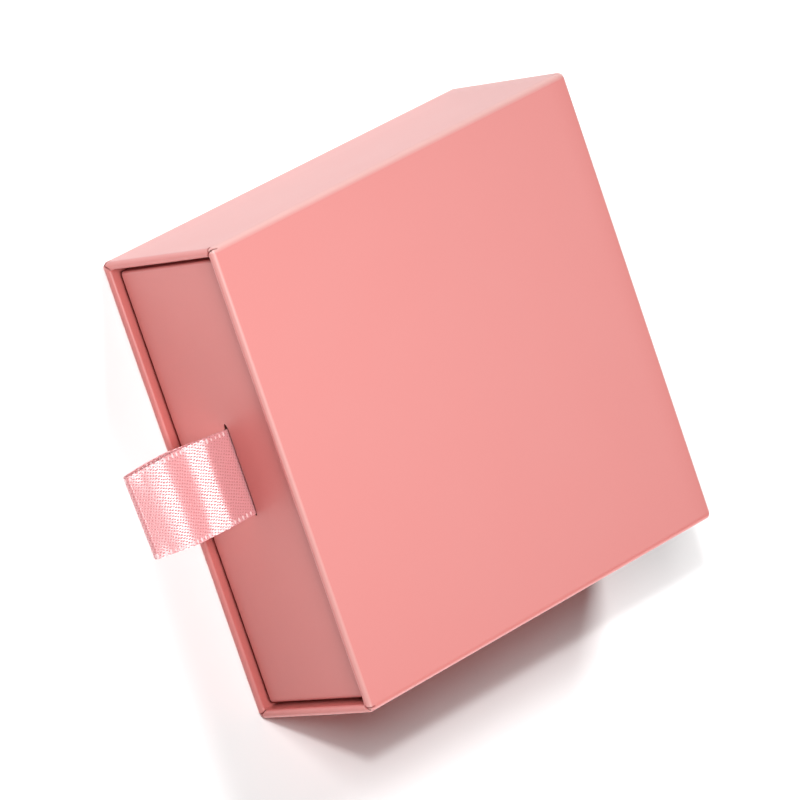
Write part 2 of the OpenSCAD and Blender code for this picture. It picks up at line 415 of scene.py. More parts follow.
def distance_to(path: Sequence[Pair], a: np.ndarray, b: np.ndarray) -> np.ndarray:
    """How far points lie from a path.

    Args:
        path: The path's points.
        a: First places of the points.
        b: Second places of the points.

    Returns:
        Distances, shaped like a.
    """
    nearest = np.full(a.shape, np.inf)
    for start, end in zip(path, path[1:]):
        run = (end[0] - start[0], end[1] - start[1])
        share = ((a - start[0]) * run[0] + (b - start[1]) * run[1]) / (run[0] ** 2 + run[1] ** 2)
        share = np.clip(share, 0.0, 1.0)
        nearest = np.minimum(nearest, np.hypot(a - start[0] - share * run[0], b - start[1] - share * run[1]))
    return nearest


def inside(shape: Sequence[Pair], a: np.ndarray, b: np.ndarray, soft: float) -> np.ndarray:
    """How far inside a convex shape points lie, as a soft mask.

    Args:
        shape: The shape's corners, in order.
        a: First places of the points.
        b: Second places of the points.
        soft: Width over which the mask rises.

    Returns:
        A mask from 0 to 1, shaped like a.
    """
    sides = list(zip(shape, [*shape[1:], shape[0]]))
    area = sum(start[0] * end[1] - end[0] * start[1] for start, end in sides)
    depth = np.full(a.shape, np.inf)
    for start, end in sides:
        run = (end[0] - start[0], end[1] - start[1])
        side = (run[0] * (b - start[1]) - run[1] * (a - start[0])) / math.hypot(*run)
        depth = np.minimum(depth, side * math.copysign(1.0, area))
    return smooth(depth, 0.0, soft)


# ---------------------------------------------------------------- shaders


@dataclass
class Wiring:
    """Adds and joins the nodes of one tree."""

    tree: bpy.types.NodeTree

    def add(self, kind: str, **settings: object) -> bpy.types.Node:
        """Adds a node.

        Args:
            kind: Its type.
            **settings: Properties of the node.

        Returns:
            The node.
        """
        node = self.tree.nodes.new(kind)
        for key, value in settings.items():
            setattr(node, key, value)
        return node

    def feed(self, target: bpy.types.NodeSocket, source: object) -> None:
        """Gives an input a value, or joins an output to it.

        Args:
            target: The input.
            source: The value or the output.
        """
        if isinstance(source, bpy.types.NodeSocket):
            self.tree.links.new(source, target)
        else:
            target.default_value = source

    def fill(self, inputs: bpy.types.NodeInputs, values: dict[str, object]) -> None:
        """Gives several inputs their values or outputs, by name."""
        for name, source in values.items():
            self.feed(inputs[name], source)

    def math(self, operation: str, *sources: object) -> bpy.types.NodeSocket:
        """Adds a Math node.

        Args:
            operation: What it works out.
            *sources: Its values or outputs, in order.

        Returns:
            Its result.
        """
        node = self.add("ShaderNodeMath", operation=operation)
        for target, source in zip(node.inputs, sources):
            self.feed(target, source)
        return node.outputs[0]

    def mix(self, share: object, first: object, second: object) -> bpy.types.NodeSocket:
        """Adds a node that mixes two colours.

        Args:
            share: The second colour's share, from 0 to 1.
            first: The first colour.
            second: The second colour.

        Returns:
            The mixed colour.
        """
        node = self.add("ShaderNodeMix", data_type="RGBA")
        for name, source in (("Factor_Float", share), ("A_Color", first), ("B_Color", second)):
            self.feed(next(s for s in node.inputs if s.identifier == name), source)
        return next(s for s in node.outputs if s.identifier == "Result_Color")

    def noise(self, vector: bpy.types.NodeSocket, size: float, detail: float = 2.0) -> bpy.types.NodeSocket:
        """Adds a noise texture.

        Args:
            vector: The places that it is looked up at.
            size: About how wide its features are, in millimetres.
            detail: How many finer layers it has.

        Returns:
            Its value.
        """
        node = self.add("ShaderNodeTexNoise")
        self.fill(node.inputs, {"Vector": vector, "Scale": 1.0 / (size * MM), "Detail": detail})
        return node.outputs["Fac"]

    def ellipse(self, aside: bpy.types.NodeSocket, ahead: bpy.types.NodeSocket,
                half: Pair) -> bpy.types.NodeSocket:
        """Works out how far places lie from the middle of an ellipse.

        Args:
            aside: The places across.
            ahead: The places along.
            half: Half the ellipse's width and half its length.

        Returns:
            The squared distance, which is 1 on the ellipse.
        """
        squares = [self.math("POWER", self.math("DIVIDE", way, reach), 2.0)
                   for way, reach in zip((aside, ahead), half)]
        return self.math("ADD", *squares)

    def bump(self, height: bpy.types.NodeSocket, depth: float,
             normal: bpy.types.NodeSocket | None = None) -> bpy.types.NodeSocket:
        """Adds a Bump node.

        Args:
            height: The height, from 0 to 1.
            depth: What the height's full range stands for, in millimetres.
            normal: The normal that it bends, if not the surface's own.

        Returns:
            The bent normal.
        """
        node = self.add("ShaderNodeBump")
        self.fill(node.inputs, {"Distance": depth * MM, "Height": height})
        if normal is not None:
            self.feed(node.inputs["Normal"], normal)
        return node.outputs["Normal"]


def group_tree(name: str, kind: str, inputs: Iterable[tuple[str, str, object]],
               outputs: Iterable[tuple[str, str]]) -> tuple[bpy.types.NodeTree, Wiring]:
    """Starts a node group.

    Args:
        name: The group's name.
        kind: The type of its tree.
        inputs: Name, socket type and first value of each input.
        outputs: Name and socket type of each output.

    Returns:
        The tree, and the wiring to fill it with.
    """
    tree = bpy.data.node_groups.new(name, kind)
    for label, socket_type, value in inputs:
        socket = tree.interface.new_socket(label, in_out="INPUT", socket_type=socket_type)
        if value is not None:
            socket.default_value = value
    for label, socket_type in outputs:
        tree.interface.new_socket(label, in_out="OUTPUT", socket_type=socket_type)
    return tree, Wiring(tree)


@dataclass(frozen=True)
class FibreSizes:
    """The sizes that pressed paper and board share.

    Attributes:
        fibre: Width of a fibre.
        stretch: How much the places are squeezed along the grain, which draws the fibres out.
        cloud: Width of the cloudy tones.
        wave: Width of the sheet's slow waves.
        wave_depth: Depth of the waves.
        tooth_depth: Depth of the tooth, at a strength of 1.
        sheen_shift: How much the roughness changes from cloud to cloud.
    """

    fibre: float = 0.35
    stretch: float = 0.55
    cloud: float = 14.0
    wave: float = 26.0
    wave_depth: float = 0.25
    tooth_depth: float = 0.02
    sheen_shift: float = 0.08


def fibre_group(sizes: FibreSizes = FibreSizes()) -> bpy.types.NodeTree:
    """The fine tooth and cloudy tone that pressed paper and board share.

    Args:
        sizes: Its sizes.

    Returns:
        A group that gives a colour, a roughness offset and a normal.
    """
    tree, w = group_tree(
        "Pressed fibre", "ShaderNodeTree",
        [("Place", "NodeSocketVector", None), ("Colour", "NodeSocketColor", (0.8, 0.8, 0.8, 1.0)),
         ("Speckle", "NodeSocketFloat", 0.04), ("Cloud", "NodeSocketFloat", 0.03),
         ("Tooth", "NodeSocketFloat", 1.0)],
        [("Colour", "NodeSocketColor"), ("Sheen shift", "NodeSocketFloat"), ("Normal", "NodeSocketVector")])
    given = w.add("NodeGroupInput").outputs
    result = w.add("NodeGroupOutput").inputs
    stretched = w.add("ShaderNodeMapping")
    w.fill(stretched.inputs, {"Scale": (1.0, sizes.stretch, 1.0), "Vector": given["Place"]})
    fibre = w.noise(stretched.outputs["Vector"], sizes.fibre, detail=4.0)
    cloud = w.noise(given["Place"], sizes.cloud, detail=3.0)
    wave = w.noise(given["Place"], sizes.wave, detail=1.0)
    shift = w.math("ADD", w.math("MULTIPLY", w.math("SUBTRACT", fibre, 0.5), given["Speckle"]),
                   w.math("MULTIPLY", w.math("SUBTRACT", cloud, 0.5), given["Cloud"]))
    tone = w.add("ShaderNodeHueSaturation")
    w.fill(tone.inputs, {"Color": given["Colour"], "Value": w.math("ADD", shift, 1.0)})
    waved = w.bump(wave, sizes.wave_depth)
    w.fill(result, {"Colour": tone.outputs["Color"],
                    "Sheen shift": w.math("MULTIPLY", w.math("SUBTRACT", cloud, 0.5), sizes.sheen_shift),
                    "Normal": w.bump(w.math("MULTIPLY", fibre, given["Tooth"]), sizes.tooth_depth, waved)})
    return tree


@dataclass(frozen=True)
class SatinWeave:
    """The five-shaft satin weave, in threads.

    Attributes:
        shafts: Threads from one binding point to the next along a float.
        step: How far the binding points move on from thread to thread, as a share of a float.
        stray: How far the threads stray, across and along.
        stray_scale: How quickly they stray over the ribbon, per millimetre.
        binding: Half width and half length of a binding point.
        fullness: The squared distance by its ellipse at which a binding point fades out.
        crown: How much a float falls off to its sides.
        dip: How deep a binding point lies.
    """

    shafts: float = 5.0
    step: float = 0.4
    stray: Pair = (1.6, 2.4)
    stray_scale: float = 0.8
    binding: Pair = (0.62, 0.95)
    fullness: float = 1.25
    crown: float = 0.45
    dip: float = 0.9


def satin_group(weave: SatinWeave = SatinWeave()) -> bpy.types.NodeTree:
    """The satin weave: long floats with a binding point on each, stepped from thread to thread.

    Args:
        weave: Its measures.

    Returns:
        A group that gives the height of the weave and a mask of its binding points.
    """
    tree, w = group_tree(
        "Satin weave", "ShaderNodeTree",
        [("Flat place", "NodeSocketVector", None), ("Thread pitch", "NodeSocketFloat", 0.25)],
        [("Height", "NodeSocketFloat"), ("Bindings", "NodeSocketFloat")])
    given = w.add("NodeGroupInput").outputs
    result = w.add("NodeGroupOutput").inputs
    parts = w.add("ShaderNodeSeparateXYZ")
    w.feed(parts.inputs[0], given["Flat place"])
    noise = w.add("ShaderNodeTexNoise")
    w.fill(noise.inputs, {"Vector": given["Flat place"], "Scale": weave.stray_scale, "Detail": 2.0})
    shift = w.add("ShaderNodeSeparateColor")
    w.feed(shift.inputs[0], noise.outputs["Color"])
    across, along = (w.math("ADD", w.math("DIVIDE", parts.outputs[k], given["Thread pitch"]),
                            w.math("MULTIPLY", shift.outputs[k], weave.stray[k])) for k in range(2))
    thread = w.math("FLOOR", across)
    aside = w.math("SUBTRACT", w.math("FRACT", across), 0.5)
    phase = w.math("ADD", w.math("DIVIDE", along, weave.shafts), w.math("MULTIPLY", thread, weave.step))
    ahead = w.math("MULTIPLY", w.math("SUBTRACT", w.math("FRACT", phase), 0.5), weave.shafts)
    binding = w.add("ShaderNodeMath", operation="SUBTRACT", use_clamp=True)
    w.feed(binding.inputs[0], weave.fullness)
    w.feed(binding.inputs[1], w.ellipse(aside, ahead, weave.binding))
    fall = w.math("MULTIPLY", w.math("POWER", w.math("MULTIPLY", aside, 2.0), 2.0), weave.crown)
    crown = w.math("SUBTRACT", 1.0, fall)
    w.fill(result, {"Height": w.math("SUBTRACT", crown, w.math("MULTIPLY", binding.outputs[0], weave.dip)),
                    "Bindings": binding.outputs[0]})
    return tree


def principled(name: str) -> tuple[bpy.types.Material, Wiring, bpy.types.NodeInputs]:
    """Starts a material.

    Args:
        name: The material's name.

    Returns:
        The material, its wiring, and the inputs of its Principled shader.
    """
    material = bpy.data.materials.new(name)
    material.use_nodes = True
    return material, Wiring(material.node_tree), material.node_tree.nodes["Principled BSDF"].inputs


@dataclass
class Finishes:
    """The shader groups that the finishes share."""

    fibre: bpy.types.NodeTree = field(default_factory=fibre_group)
    satin: bpy.types.NodeTree = field(default_factory=satin_group)

    def place(self, w: Wiring, tree: bpy.types.NodeTree, values: dict[str, object]) -> bpy.types.NodeOutputs:
        """Places a group in a material, with its own values.

        Args:
            w: The material's wiring.
            tree: The group.
            values: The values of its inputs, by name.

        Returns:
            The group's outputs.
        """
        node = w.add("ShaderNodeGroup", node_tree=tree)
        w.fill(node.inputs, values)
        return node.outputs


@dataclass(frozen=True)
class PressedFinish:
    """A finish of pressed fibre: wrapping paper, board or tape.

    Attributes:
        name: The material's name.
        colour: Its linear base colour.
        fold_colour: Its linear colour where it is folded tightly.
        crease_colour: Its linear colour in a crease's shadow.
        roughness: Its roughness.
        film: Weight of the thin laminated film on it.
        speckle: Contrast of its single fibres.
        cloud: Contrast of its cloudy tone.
        tooth: Strength of its tooth.
        highlight_colour: Its linear colour under a painted highlight on the lit edges.
        crease_roughness: How much rougher it is in a crease.
        film_roughness: Roughness of the film.
        ior: Its refractive index.
    """

    name: str
    colour: Triple
    fold_colour: Triple
    crease_colour: Triple
    roughness: float
    film: float
    speckle: float
    cloud: float
    tooth: float
    highlight_colour: Triple = (0.80, 0.46, 0.43)
    crease_roughness: float = 0.4
    film_roughness: float = 0.42
    ior: float = 1.48

    def make(self, finishes: Finishes) -> bpy.types.Material:
        """Makes the material.

        Args:
            finishes: The shared groups.

        Returns:
            The material.
        """
        material, w, shader = principled(self.name)
        fold, painted_highlight, crease = (w.add("ShaderNodeAttribute", attribute_name=mark).outputs["Fac"]
                              for mark in ("fold", "painted_highlight", "crease"))
        colour = w.mix(fold, (*self.colour, 1.0), (*self.fold_colour, 1.0))
        # painted highlight: the lit edges that this mark picks out are mixed towards a paler colour
        colour = w.mix(painted_highlight, colour, (*self.highlight_colour, 1.0))
        # painted shade: the crease mark darkens the paper in its creases and in the gap behind the drawer's
        # front
        colour = w.mix(crease, colour, (*self.crease_colour, 1.0))
        fibre = finishes.place(w, finishes.fibre, {
            "Place": w.add("ShaderNodeTexCoord").outputs["Object"], "Colour": colour, "Speckle": self.speckle,
            "Cloud": self.cloud, "Tooth": self.tooth})
        rough = w.math("ADD", fibre["Sheen shift"], self.roughness)
        w.fill(shader, {"Base Color": fibre["Colour"], "Normal": fibre["Normal"],
                        "Roughness": w.math("MULTIPLY_ADD", crease, self.crease_roughness, rough),
                        "Coat Weight": w.math("MULTIPLY", w.math("SUBTRACT", 1.0, crease), self.film),
                        "Coat Roughness": self.film_roughness, "IOR": self.ior})
        return material


@dataclass(frozen=True)
class SatinFinish:
    """The woven satin of the ribbon.

    Attributes:
        name: The material's name.
        colour: Linear colour of the floats.
        binding_colour: Linear colour at the binding points.
        thread_pitch: Distance from thread to thread.
        relief: Depth of the weave.
        roughness: Roughness of the floats.
        binding_roughness: How much rougher the binding points are.
        others: The shader's other inputs.
    """

    name: str
    colour: Triple
    binding_colour: Triple
    thread_pitch: float
    relief: float = 0.018
    roughness: float = 0.26
    binding_roughness: float = 0.55
    others: tuple[tuple[str, float], ...] = (("Anisotropic", 0.85), ("IOR", 2.0), ("Sheen Weight", 0.15),
                                             ("Sheen Roughness", 0.4))

    def make(self, finishes: Finishes) -> bpy.types.Material:
        """Makes the material.

        Args:
            finishes: The shared groups.

        Returns:
            The material.
        """
        material, w, shader = principled(self.name)
        flat = w.add("ShaderNodeUVMap", uv_map="flat").outputs["UV"]
        weave = finishes.place(w, finishes.satin, {"Flat place": flat, "Thread pitch": self.thread_pitch})
        bindings = weave["Bindings"]
        tangent = w.add("ShaderNodeTangent", direction_type="UV_MAP", uv_map="flat").outputs["Tangent"]
        w.fill(shader, {"Base Color": w.mix(bindings, (*self.colour, 1.0), (*self.binding_colour, 1.0)),
                        "Normal": w.bump(weave["Height"], self.relief), "Tangent": tangent,
                        "Roughness": w.math("MULTIPLY_ADD", bindings, self.binding_roughness, self.roughness),
                        **dict(self.others)})
        return material


@dataclass(frozen=True)
class ThreadFinish:
    """The tighter, paler thread of the ribbon's woven edges.

    Attributes:
        name: The material's name.
        colour: Its linear colour.
        fibre: Contrast of its fibres, of its cloudy tone, and its tooth.
        roughness: Its roughness.
        sheen: Weight of its sheen.
    """

    name: str
    colour: Triple
    fibre: Triple = (0.25, 0.1, 1.5)
    roughness: float = 0.4
    sheen: float = 0.3

    def make(self, finishes: Finishes) -> bpy.types.Material:
        """Makes the material.

        Args:
            finishes: The shared groups.

        Returns:
            The material.
        """
        material, w, shader = principled(self.name)
        fibre = finishes.place(w, finishes.fibre, {
            "Place": w.add("ShaderNodeTexCoord").outputs["Object"], "Colour": (*self.colour, 1.0),
            **dict(zip(("Speckle", "Cloud", "Tooth"), self.fibre))})
        w.fill(shader, {"Base Color": fibre["Colour"], "Normal": fibre["Normal"], "Roughness": self.roughness,
                        "Sheen Weight": self.sheen})
        return material


PINK_PAPER = PressedFinish("Pink laminated paper", colour=(0.60, 0.15, 0.135),
                           fold_colour=(0.65, 0.205, 0.19), crease_colour=(0.16, 0.008, 0.008),
                           roughness=0.5, film=1.0, speckle=0.03, cloud=0.03, tooth=0.6)
# The board's dark reddish colour is partly its own and partly painted shade for the slit, the only place
# where it shows.
GREYBOARD = PressedFinish("Greyboard", colour=(0.12, 0.05, 0.04), fold_colour=(0.15, 0.075, 0.06),
                          crease_colour=(0.1, 0.09, 0.08), roughness=0.9, film=0.0, speckle=0.5,
                          cloud=0.15, tooth=2.5)
KRAFT_TAPE = PressedFinish("Gummed kraft tape", colour=(0.48, 0.29, 0.14), fold_colour=(0.52, 0.33, 0.17),
                           crease_colour=(0.1, 0.06, 0.03), roughness=0.7, film=0.1, speckle=0.25,
                           cloud=0.12, tooth=1.5)
SATIN = SatinFinish("Pink satin", colour=(0.80, 0.35, 0.365), binding_colour=(0.55, 0.17, 0.18),
                    thread_pitch=0.275)
EDGE_THREAD = ThreadFinish("Ribbon edge thread", colour=(0.90, 0.63, 0.64))


def dress(piece: bpy.types.Object, material: bpy.types.Material) -> None:
    """Gives a piece one material."""
    piece.data.materials.clear()
    piece.data.materials.append(material)


# ---------------------------------------------------------------- sleeve


@dataclass(frozen=True)
class Tuck:
    """The relief that all tucked corners share.

    Attributes:
        depth: Depth of the creases.
        width: Width of the main crease.
        branch_width: Width of the branch to the side face.
        branch_share: Depth of that branch, as a share of the main crease's.
        lip_height: Height of the raised lip beside the main crease.
        lip_away: Distance of the lip from the crease.
        lip_width: Width of the lip.
        facet_edge: Width of the pressed facet's edge.
        step_reach: How far from the crease the step is felt.
        step_edge: Half the width over which the step rises.
        reach: How far in from the outer faces, along the paper, it is tucked.
        past: How far back along the outer walls it is tucked.
    """

    depth: float = 0.13
    width: float = 0.17
    branch_width: float = 0.15
    branch_share: float = 0.8
    lip_height: float = 0.06
    lip_away: float = 0.4
    lip_width: float = 0.16
    facet_edge: float = 0.25
    step_reach: float = 0.6
    step_edge: float = 0.1
    reach: float = 7.0
    past: float = 2.5


@dataclass(frozen=True)
class CornerFold:
    """How the paper is tucked at one corner of the mouth.

    A place is (in from the side face, in from the top or bottom face), along the paper.

    Attributes:
        side: -1 for the left corners, 1 for the right ones.
        level: -1 for the lower corners, 1 for the upper ones.
        stem: The crease from inside the mouth to where it forks.
        to_level: The branch that runs to the top or bottom face, from the fork.
        to_side: The branch that runs to the side face, from the fork.
        facet_drop: How far the small facet between the branches is pressed in.
        step: How much higher the paper on the side face's side of the crease lies.
    """

    side: int
    level: int
    stem: tuple[Pair, ...]
    to_level: tuple[Pair, ...]
    to_side: tuple[Pair, ...]
    facet_drop: float = 0.07
    step: float = 0.0

    def press(self, a: np.ndarray, b: np.ndarray, tuck: Tuck) -> tuple[np.ndarray, np.ndarray]:
        """Works out the tuck's relief.

        Args:
            a: Places in from the side face.
            b: Places in from the top or bottom face.
            tuck: The relief that all corners share.

        Returns:
            The height to move the paper by, and how deep in a crease each point is, from 0 to 1.
        """
        fork = self.stem[-1]
        main = distance_to((*self.stem, *self.to_level), a, b)
        branch = distance_to((fork, *self.to_side), a, b)
        crease = np.maximum(bell(main, tuck.width), tuck.branch_share * bell(branch, tuck.branch_width))
        facet = inside((fork, *self.to_level, *reversed(self.to_side)), a, b, tuck.facet_edge)
        raised = bell(main, tuck.step_reach) * smooth(b - a, -tuck.step_edge, tuck.step_edge)
        lip = tuck.lip_height * bell(main - tuck.lip_away, tuck.lip_width)
        height = lip - tuck.depth * crease - self.facet_drop * facet + self.step * raised
        return height, crease


@dataclass
class Sleeve:
    """The sleeve that the drawer slides in.

    Attributes:
        board: Thickness of its board.
        paper: Thickness of its paper.
        edge_radius: Radius of its four long edges.
        end_radius: Radius round the mouth's and the back's outer edges.
        lip_radius: Radius of the mouth's inner edge.
        turn_in: How far its paper turns in at the mouth.
        back_flap: How far its paper folds over the back.
        pressed: How much the glued paper is pressed in on the bore.
        bore_radius: Corner radius of the bore.
        far: Unrolled place of the rings behind the walls, which no tuck reaches.
        flat_mark: Fold mark of the mouth's narrow face, between its two folds.
        ripple: Height of the slow ripples near the mouth.
        ripple_reach: How far back the ripples fade.
        ripple_lengths: Lengths of the slow and the quick ripples, for each radian.
        ripple_phase: How far round its circle a slow ripple starts.
        ripple_share: Height of the quick ripples, as a share of the slow ones'.
        tuck: The relief that the tucked corners share.
        edge_highlight: Strength of the painted highlight on the upper left edge, from 0 to 1.
        lip_highlight: Strength of the painted highlight on the mouth's upper edge, from 0 to 1.
        folds: The four tucked corners of the mouth.
    """

    board: float = 1.5
    paper: float = 0.2
    edge_radius: float = 1.4
    end_radius: float = 0.95
    lip_radius: float = 0.8
    turn_in: float = 15.0
    back_flap: float = 12.0
    pressed: float = 0.1
    bore_radius: float = 0.25
    far: float = -200.0
    flat_mark: float = 0.6
    ripple: float = 0.02
    ripple_reach: float = 3.0
    ripple_lengths: Pair = (5.3, 2.1)
    ripple_phase: float = 1.1
    ripple_share: float = 0.6
    tuck: Tuck = Tuck()
    edge_highlight: float = 0.9
    lip_highlight: float = 0.45
    folds: tuple[CornerFold, ...] = (
        CornerFold(-1, -1, ((1.45, 2.2), (1.11, 1.86), (0.77, 1.15)), ((0.45, 0.6), (0.2, -0.3)),
                   ((-0.35, 1.75),), step=0.09),
        CornerFold(1, -1, ((1.85, 2.2), (1.6, 1.95), (1.3, 1.55)), ((1.15, 0.8), (1.05, -0.3)),
                   ((0.7, 1.3), (-0.3, 1.15))),
        CornerFold(-1, 1, ((1.9, 1.95), (1.4, 1.7), (0.75, 1.2)), ((0.35, 0.5), (0.1, -0.3)),
                   ((-0.35, 1.85),), facet_drop=0.1),
        CornerFold(1, 1, ((1.94, 1.7), (1.24, 1.0)), ((1.1, 0.4), (0.95, -0.35)), ((0.6, 0.6), (-0.1, 0.3)),
                   facet_drop=0.05),
    )

    def __post_init__(self) -> None:
        """Reads the sleeve's outer size from the frame."""
        self.low, self.high = node_span("sleeve_wrap")
        self.middle = (self.low + self.high) / 2.0
        self.wall = self.board + 2.0 * self.paper - self.pressed

    def stations(self) -> list[Station]:
        """Lays out the wrapping paper.

        Returns:
            Its rings, from its edge on the back, over the walls and in at the mouth.
        """
        back, mouth = float(self.high[1]), float(self.low[1])
        r, lip = self.end_radius, self.lip_radius
        found = [Station(inset, back, 90.0, self.far)
                 for inset in (self.back_flap, 9.0, 6.0, 3.5, 2.0, 1.4, r)]
        found += [replace(s, unrolled=self.far) for s in fold_arc(r, back - r, r, 90.0, 0.0, -1, steps=8)]
        places = graded(back - mouth - 2.0 * r, fine=0.1, fine_for=1.2, coarse=6.0)
        found += [Station(0.0, mouth + r + p, 0.0, -p) for p in [*reversed(places), 0.0]]
        found += fold_arc(r, mouth + r, r, 0.0, 0.0, -1, steps=14)
        past_arc = r * QUARTER_TURN
        land = self.wall - r - lip
        found += [Station(r + p, mouth, -90.0, past_arc + p, self.flat_mark) for p in (land / 2.0, land)]
        found += fold_arc(r + land, mouth + lip, lip, -90.0, past_arc + land, -1, steps=11)
        past_lip = past_arc + land + lip * QUARTER_TURN
        first = 0.12
        inward = self.turn_in - lip - first
        found += [Station(self.wall, mouth + lip + p, -180.0, past_lip + p)
                  for p in [*graded(inward, first, fine_for=1.6, coarse=2.5), inward]]
        return found

    def build_wrap(self) -> bpy.types.Object:
        """Makes the wrapping paper, with its soft edges and tucked corners.

        Returns:
            The paper.
        """
        half = ((self.high[0] - self.low[0]) / 2.0, (self.high[2] - self.low[2]) / 2.0)
        sides = tuple(side_places(h, self.edge_radius, fine=0.1, fine_for=2.4, coarse=4.5) for h in half)
        outline = Outline(half=half, outer_radius=self.edge_radius, inner_radius=self.bore_radius,
                          wall=self.wall, steady=(25.0, 4.0), arc_steps=16, sides=sides)
        stations = self.stations()
        across, radial, lean, along, fold = outline.sweep(stations)
        points = np.stack([across[..., 0], along, across[..., 1] + self.middle[2]], axis=-1)
        normals = np.stack([radial[..., 0] * np.cos(lean), np.sin(lean) + 0.0 * along,
                            radial[..., 1] * np.cos(lean)], axis=-1)
        height, crease = self.tucks(stations, half, across, radial)
        front = np.exp(-np.abs(along - self.low[1]) / self.ripple_reach)
        run = across[..., 0] * np.abs(radial[..., 1]) + across[..., 1] * np.abs(radial[..., 0])
        slow, quick = self.ripple_lengths
        quick_waves = np.sin(run / quick + across[..., 1])
        waves = np.sin(run / slow + self.ripple_phase) + self.ripple_share * quick_waves
        height += self.ripple * front * waves
        points += height[..., None] * normals
        insets = np.array([s.inset for s in stations])[:, None]
        long_edge = corner_mark(radial) * (insets < self.end_radius / 2.0)
        # painted highlight: the upper left long edge and the mouth's upper lip, which face the light, are
        # painted paler
        upper_left = long_edge * (across[..., 0] < 0.0) * (across[..., 1] > 0.0)
        upper_lip = fold * (radial[..., 1] > 0.5) * (insets < self.lip_radius)
        painted_highlight = np.maximum(self.edge_highlight * upper_left, self.lip_highlight * upper_lip)
        marks = {"fold": np.maximum(fold, long_edge), "crease": crease, "painted_highlight": painted_highlight}
        return Skin(points, normals, marks=marks).build("sleeve_wrapping_paper", self.paper)

    def tucks(self, stations: Sequence[Station], half: Pair, across: np.ndarray,
              radial: np.ndarray) -> tuple[np.ndarray, np.ndarray]:
        """Works out the relief of the mouth's four corners.

        Args:
            stations: The rings of the paper.
            half: Half the sleeve's width and half its height.
            across: Places on the rings.
            radial: Outward directions on the rings.

        Returns:
            The height to move the paper by, and how deep in a crease each point is.
        """
        unrolled = np.array([self.unrolled_extra(s) for s in stations])[:, None, None]
        a, b = np.moveaxis(np.array(half) - np.abs(across) + unrolled * np.abs(radial), -1, 0)
        at_mouth = np.array([s.lean < 45.0 for s in stations])[:, None]
        near = at_mouth & (np.maximum(a, b) < self.tuck.reach) & (np.minimum(a, b) > -self.tuck.past)
        height, crease = np.zeros(a.shape), np.zeros(a.shape)
        for fold in self.folds:
            here = near & (np.sign(across[..., 0]) == fold.side) & (np.sign(across[..., 1]) == fold.level)
            height[here], crease[here] = fold.press(a[here], b[here], self.tuck)
        return height, crease

    def unrolled_extra(self, station: Station) -> float:
        """How much further the paper has run at a station than its inset shows.

        Args:
            station: A ring of the paper.

        Returns:
            The distance, below 0 on the outer walls.
        """
        if station.lean > -1.0:
            return station.unrolled
        if station.lean > -179.0:
            return 0.0
        radii = self.end_radius + self.lip_radius
        return station.unrolled - radii * QUARTER_TURN - (self.wall - radii)

    def build_back_sheet(self) -> bpy.types.Object:
        """Makes the sheet glued over the flaps at the back.

        Returns:
            The sheet.
        """
        low, high = node_span("sleeve_back_sheet")
        centre = (0.0, float(high[1]), float(low[2] + high[2]) / 2.0)
        return glued_sheet("back_cover_sheet", centre, across=(-1.0, 0.0, 0.0), up=(0.0, 0.0, 1.0),
                           size=(high[0] - low[0], high[2] - low[2]), thickness=self.paper,
                           relief=lambda u, v: self.ripple * np.sin(u / 9.0) * np.cos(v / 7.0))

    def dress(self, paper: bpy.types.Material, board: bpy.types.Material, tape: bpy.types.Material) -> None:
        """Builds the sleeve's papers and gives every node of it its finish.

        Args:
            paper: The wrapping paper's material.
            board: The board's material.
            tape: The tape's material.
        """
        attach(self.build_wrap(), paper, Body.SLEEVE, "sleeve_wrap")
        attach(self.build_back_sheet(), paper, Body.SLEEVE, "sleeve_back_sheet")
        keep(("sleeve_top_board", "sleeve_bottom_board", "sleeve_left_board", "sleeve_right_board",
              "sleeve_back_board"), board)
        keep(("sleeve_seam_tape", "sleeve_back_tapes"), tape)
        keep(("sleeve_liner",), paper)


def glued_sheet(name: str, centre: Triple, across: Triple, up: Triple, size: Pair, thickness: float,
                relief: Callable[[np.ndarray, np.ndarray], np.ndarray],
                steps: tuple[int, int] = (48, 24)) -> bpy.types.Object:
    """Makes a nearly flat sheet that lies on a face of the box.

    Args:
        name: The piece's name.
        centre: The middle of its outer face.
        across: Direction of its width.
        up: Direction of its height.
        size: Its width and height.
        thickness: Its thickness.
        relief: Height of its outer face over the plain, from places across and up.
        steps: How many quads it has across and up.

    Returns:
        The piece.
    """
    u, v = np.meshgrid(np.linspace(-0.5, 0.5, steps[0] + 1) * size[0],
                       np.linspace(-0.5, 0.5, steps[1] + 1) * size[1])
    outward = np.cross(across, up)
    height = relief(u, v)
    points = (np.array(centre) + u[..., None] * np.array(across) + v[..., None] * np.array(up)
              + height[..., None] * outward)
    normals = np.tile(outward, (*u.shape, 1)).astype(float)
    return Skin(points, normals, closed=False).build(name, thickness)


def attach(piece: bpy.types.Object, material: bpy.types.Material, body: Body, node: str) -> None:
    """Dresses a new piece, lets it ride on its body and stand for its node.

    Args:
        piece: The piece, in place.
        material: Its material.
        body: The body that it rides on.
        node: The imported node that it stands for.
    """
    dress(piece, material)
    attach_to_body(piece, body.value)
    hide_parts(node)
    log.info("%s stands for %s", piece.name, node)


def keep(nodes: Iterable[str], material: bpy.types.Material) -> None:
    """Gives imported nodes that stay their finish.

    Args:
        nodes: The nodes' names.
        material: Their material.
    """
    for name in nodes:
        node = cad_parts[name]
        for slot in node.material_slots:
            slot.material = material
        log.info("%s is %s", name, material.name)


# ---------------------------------------------------------------- drawer


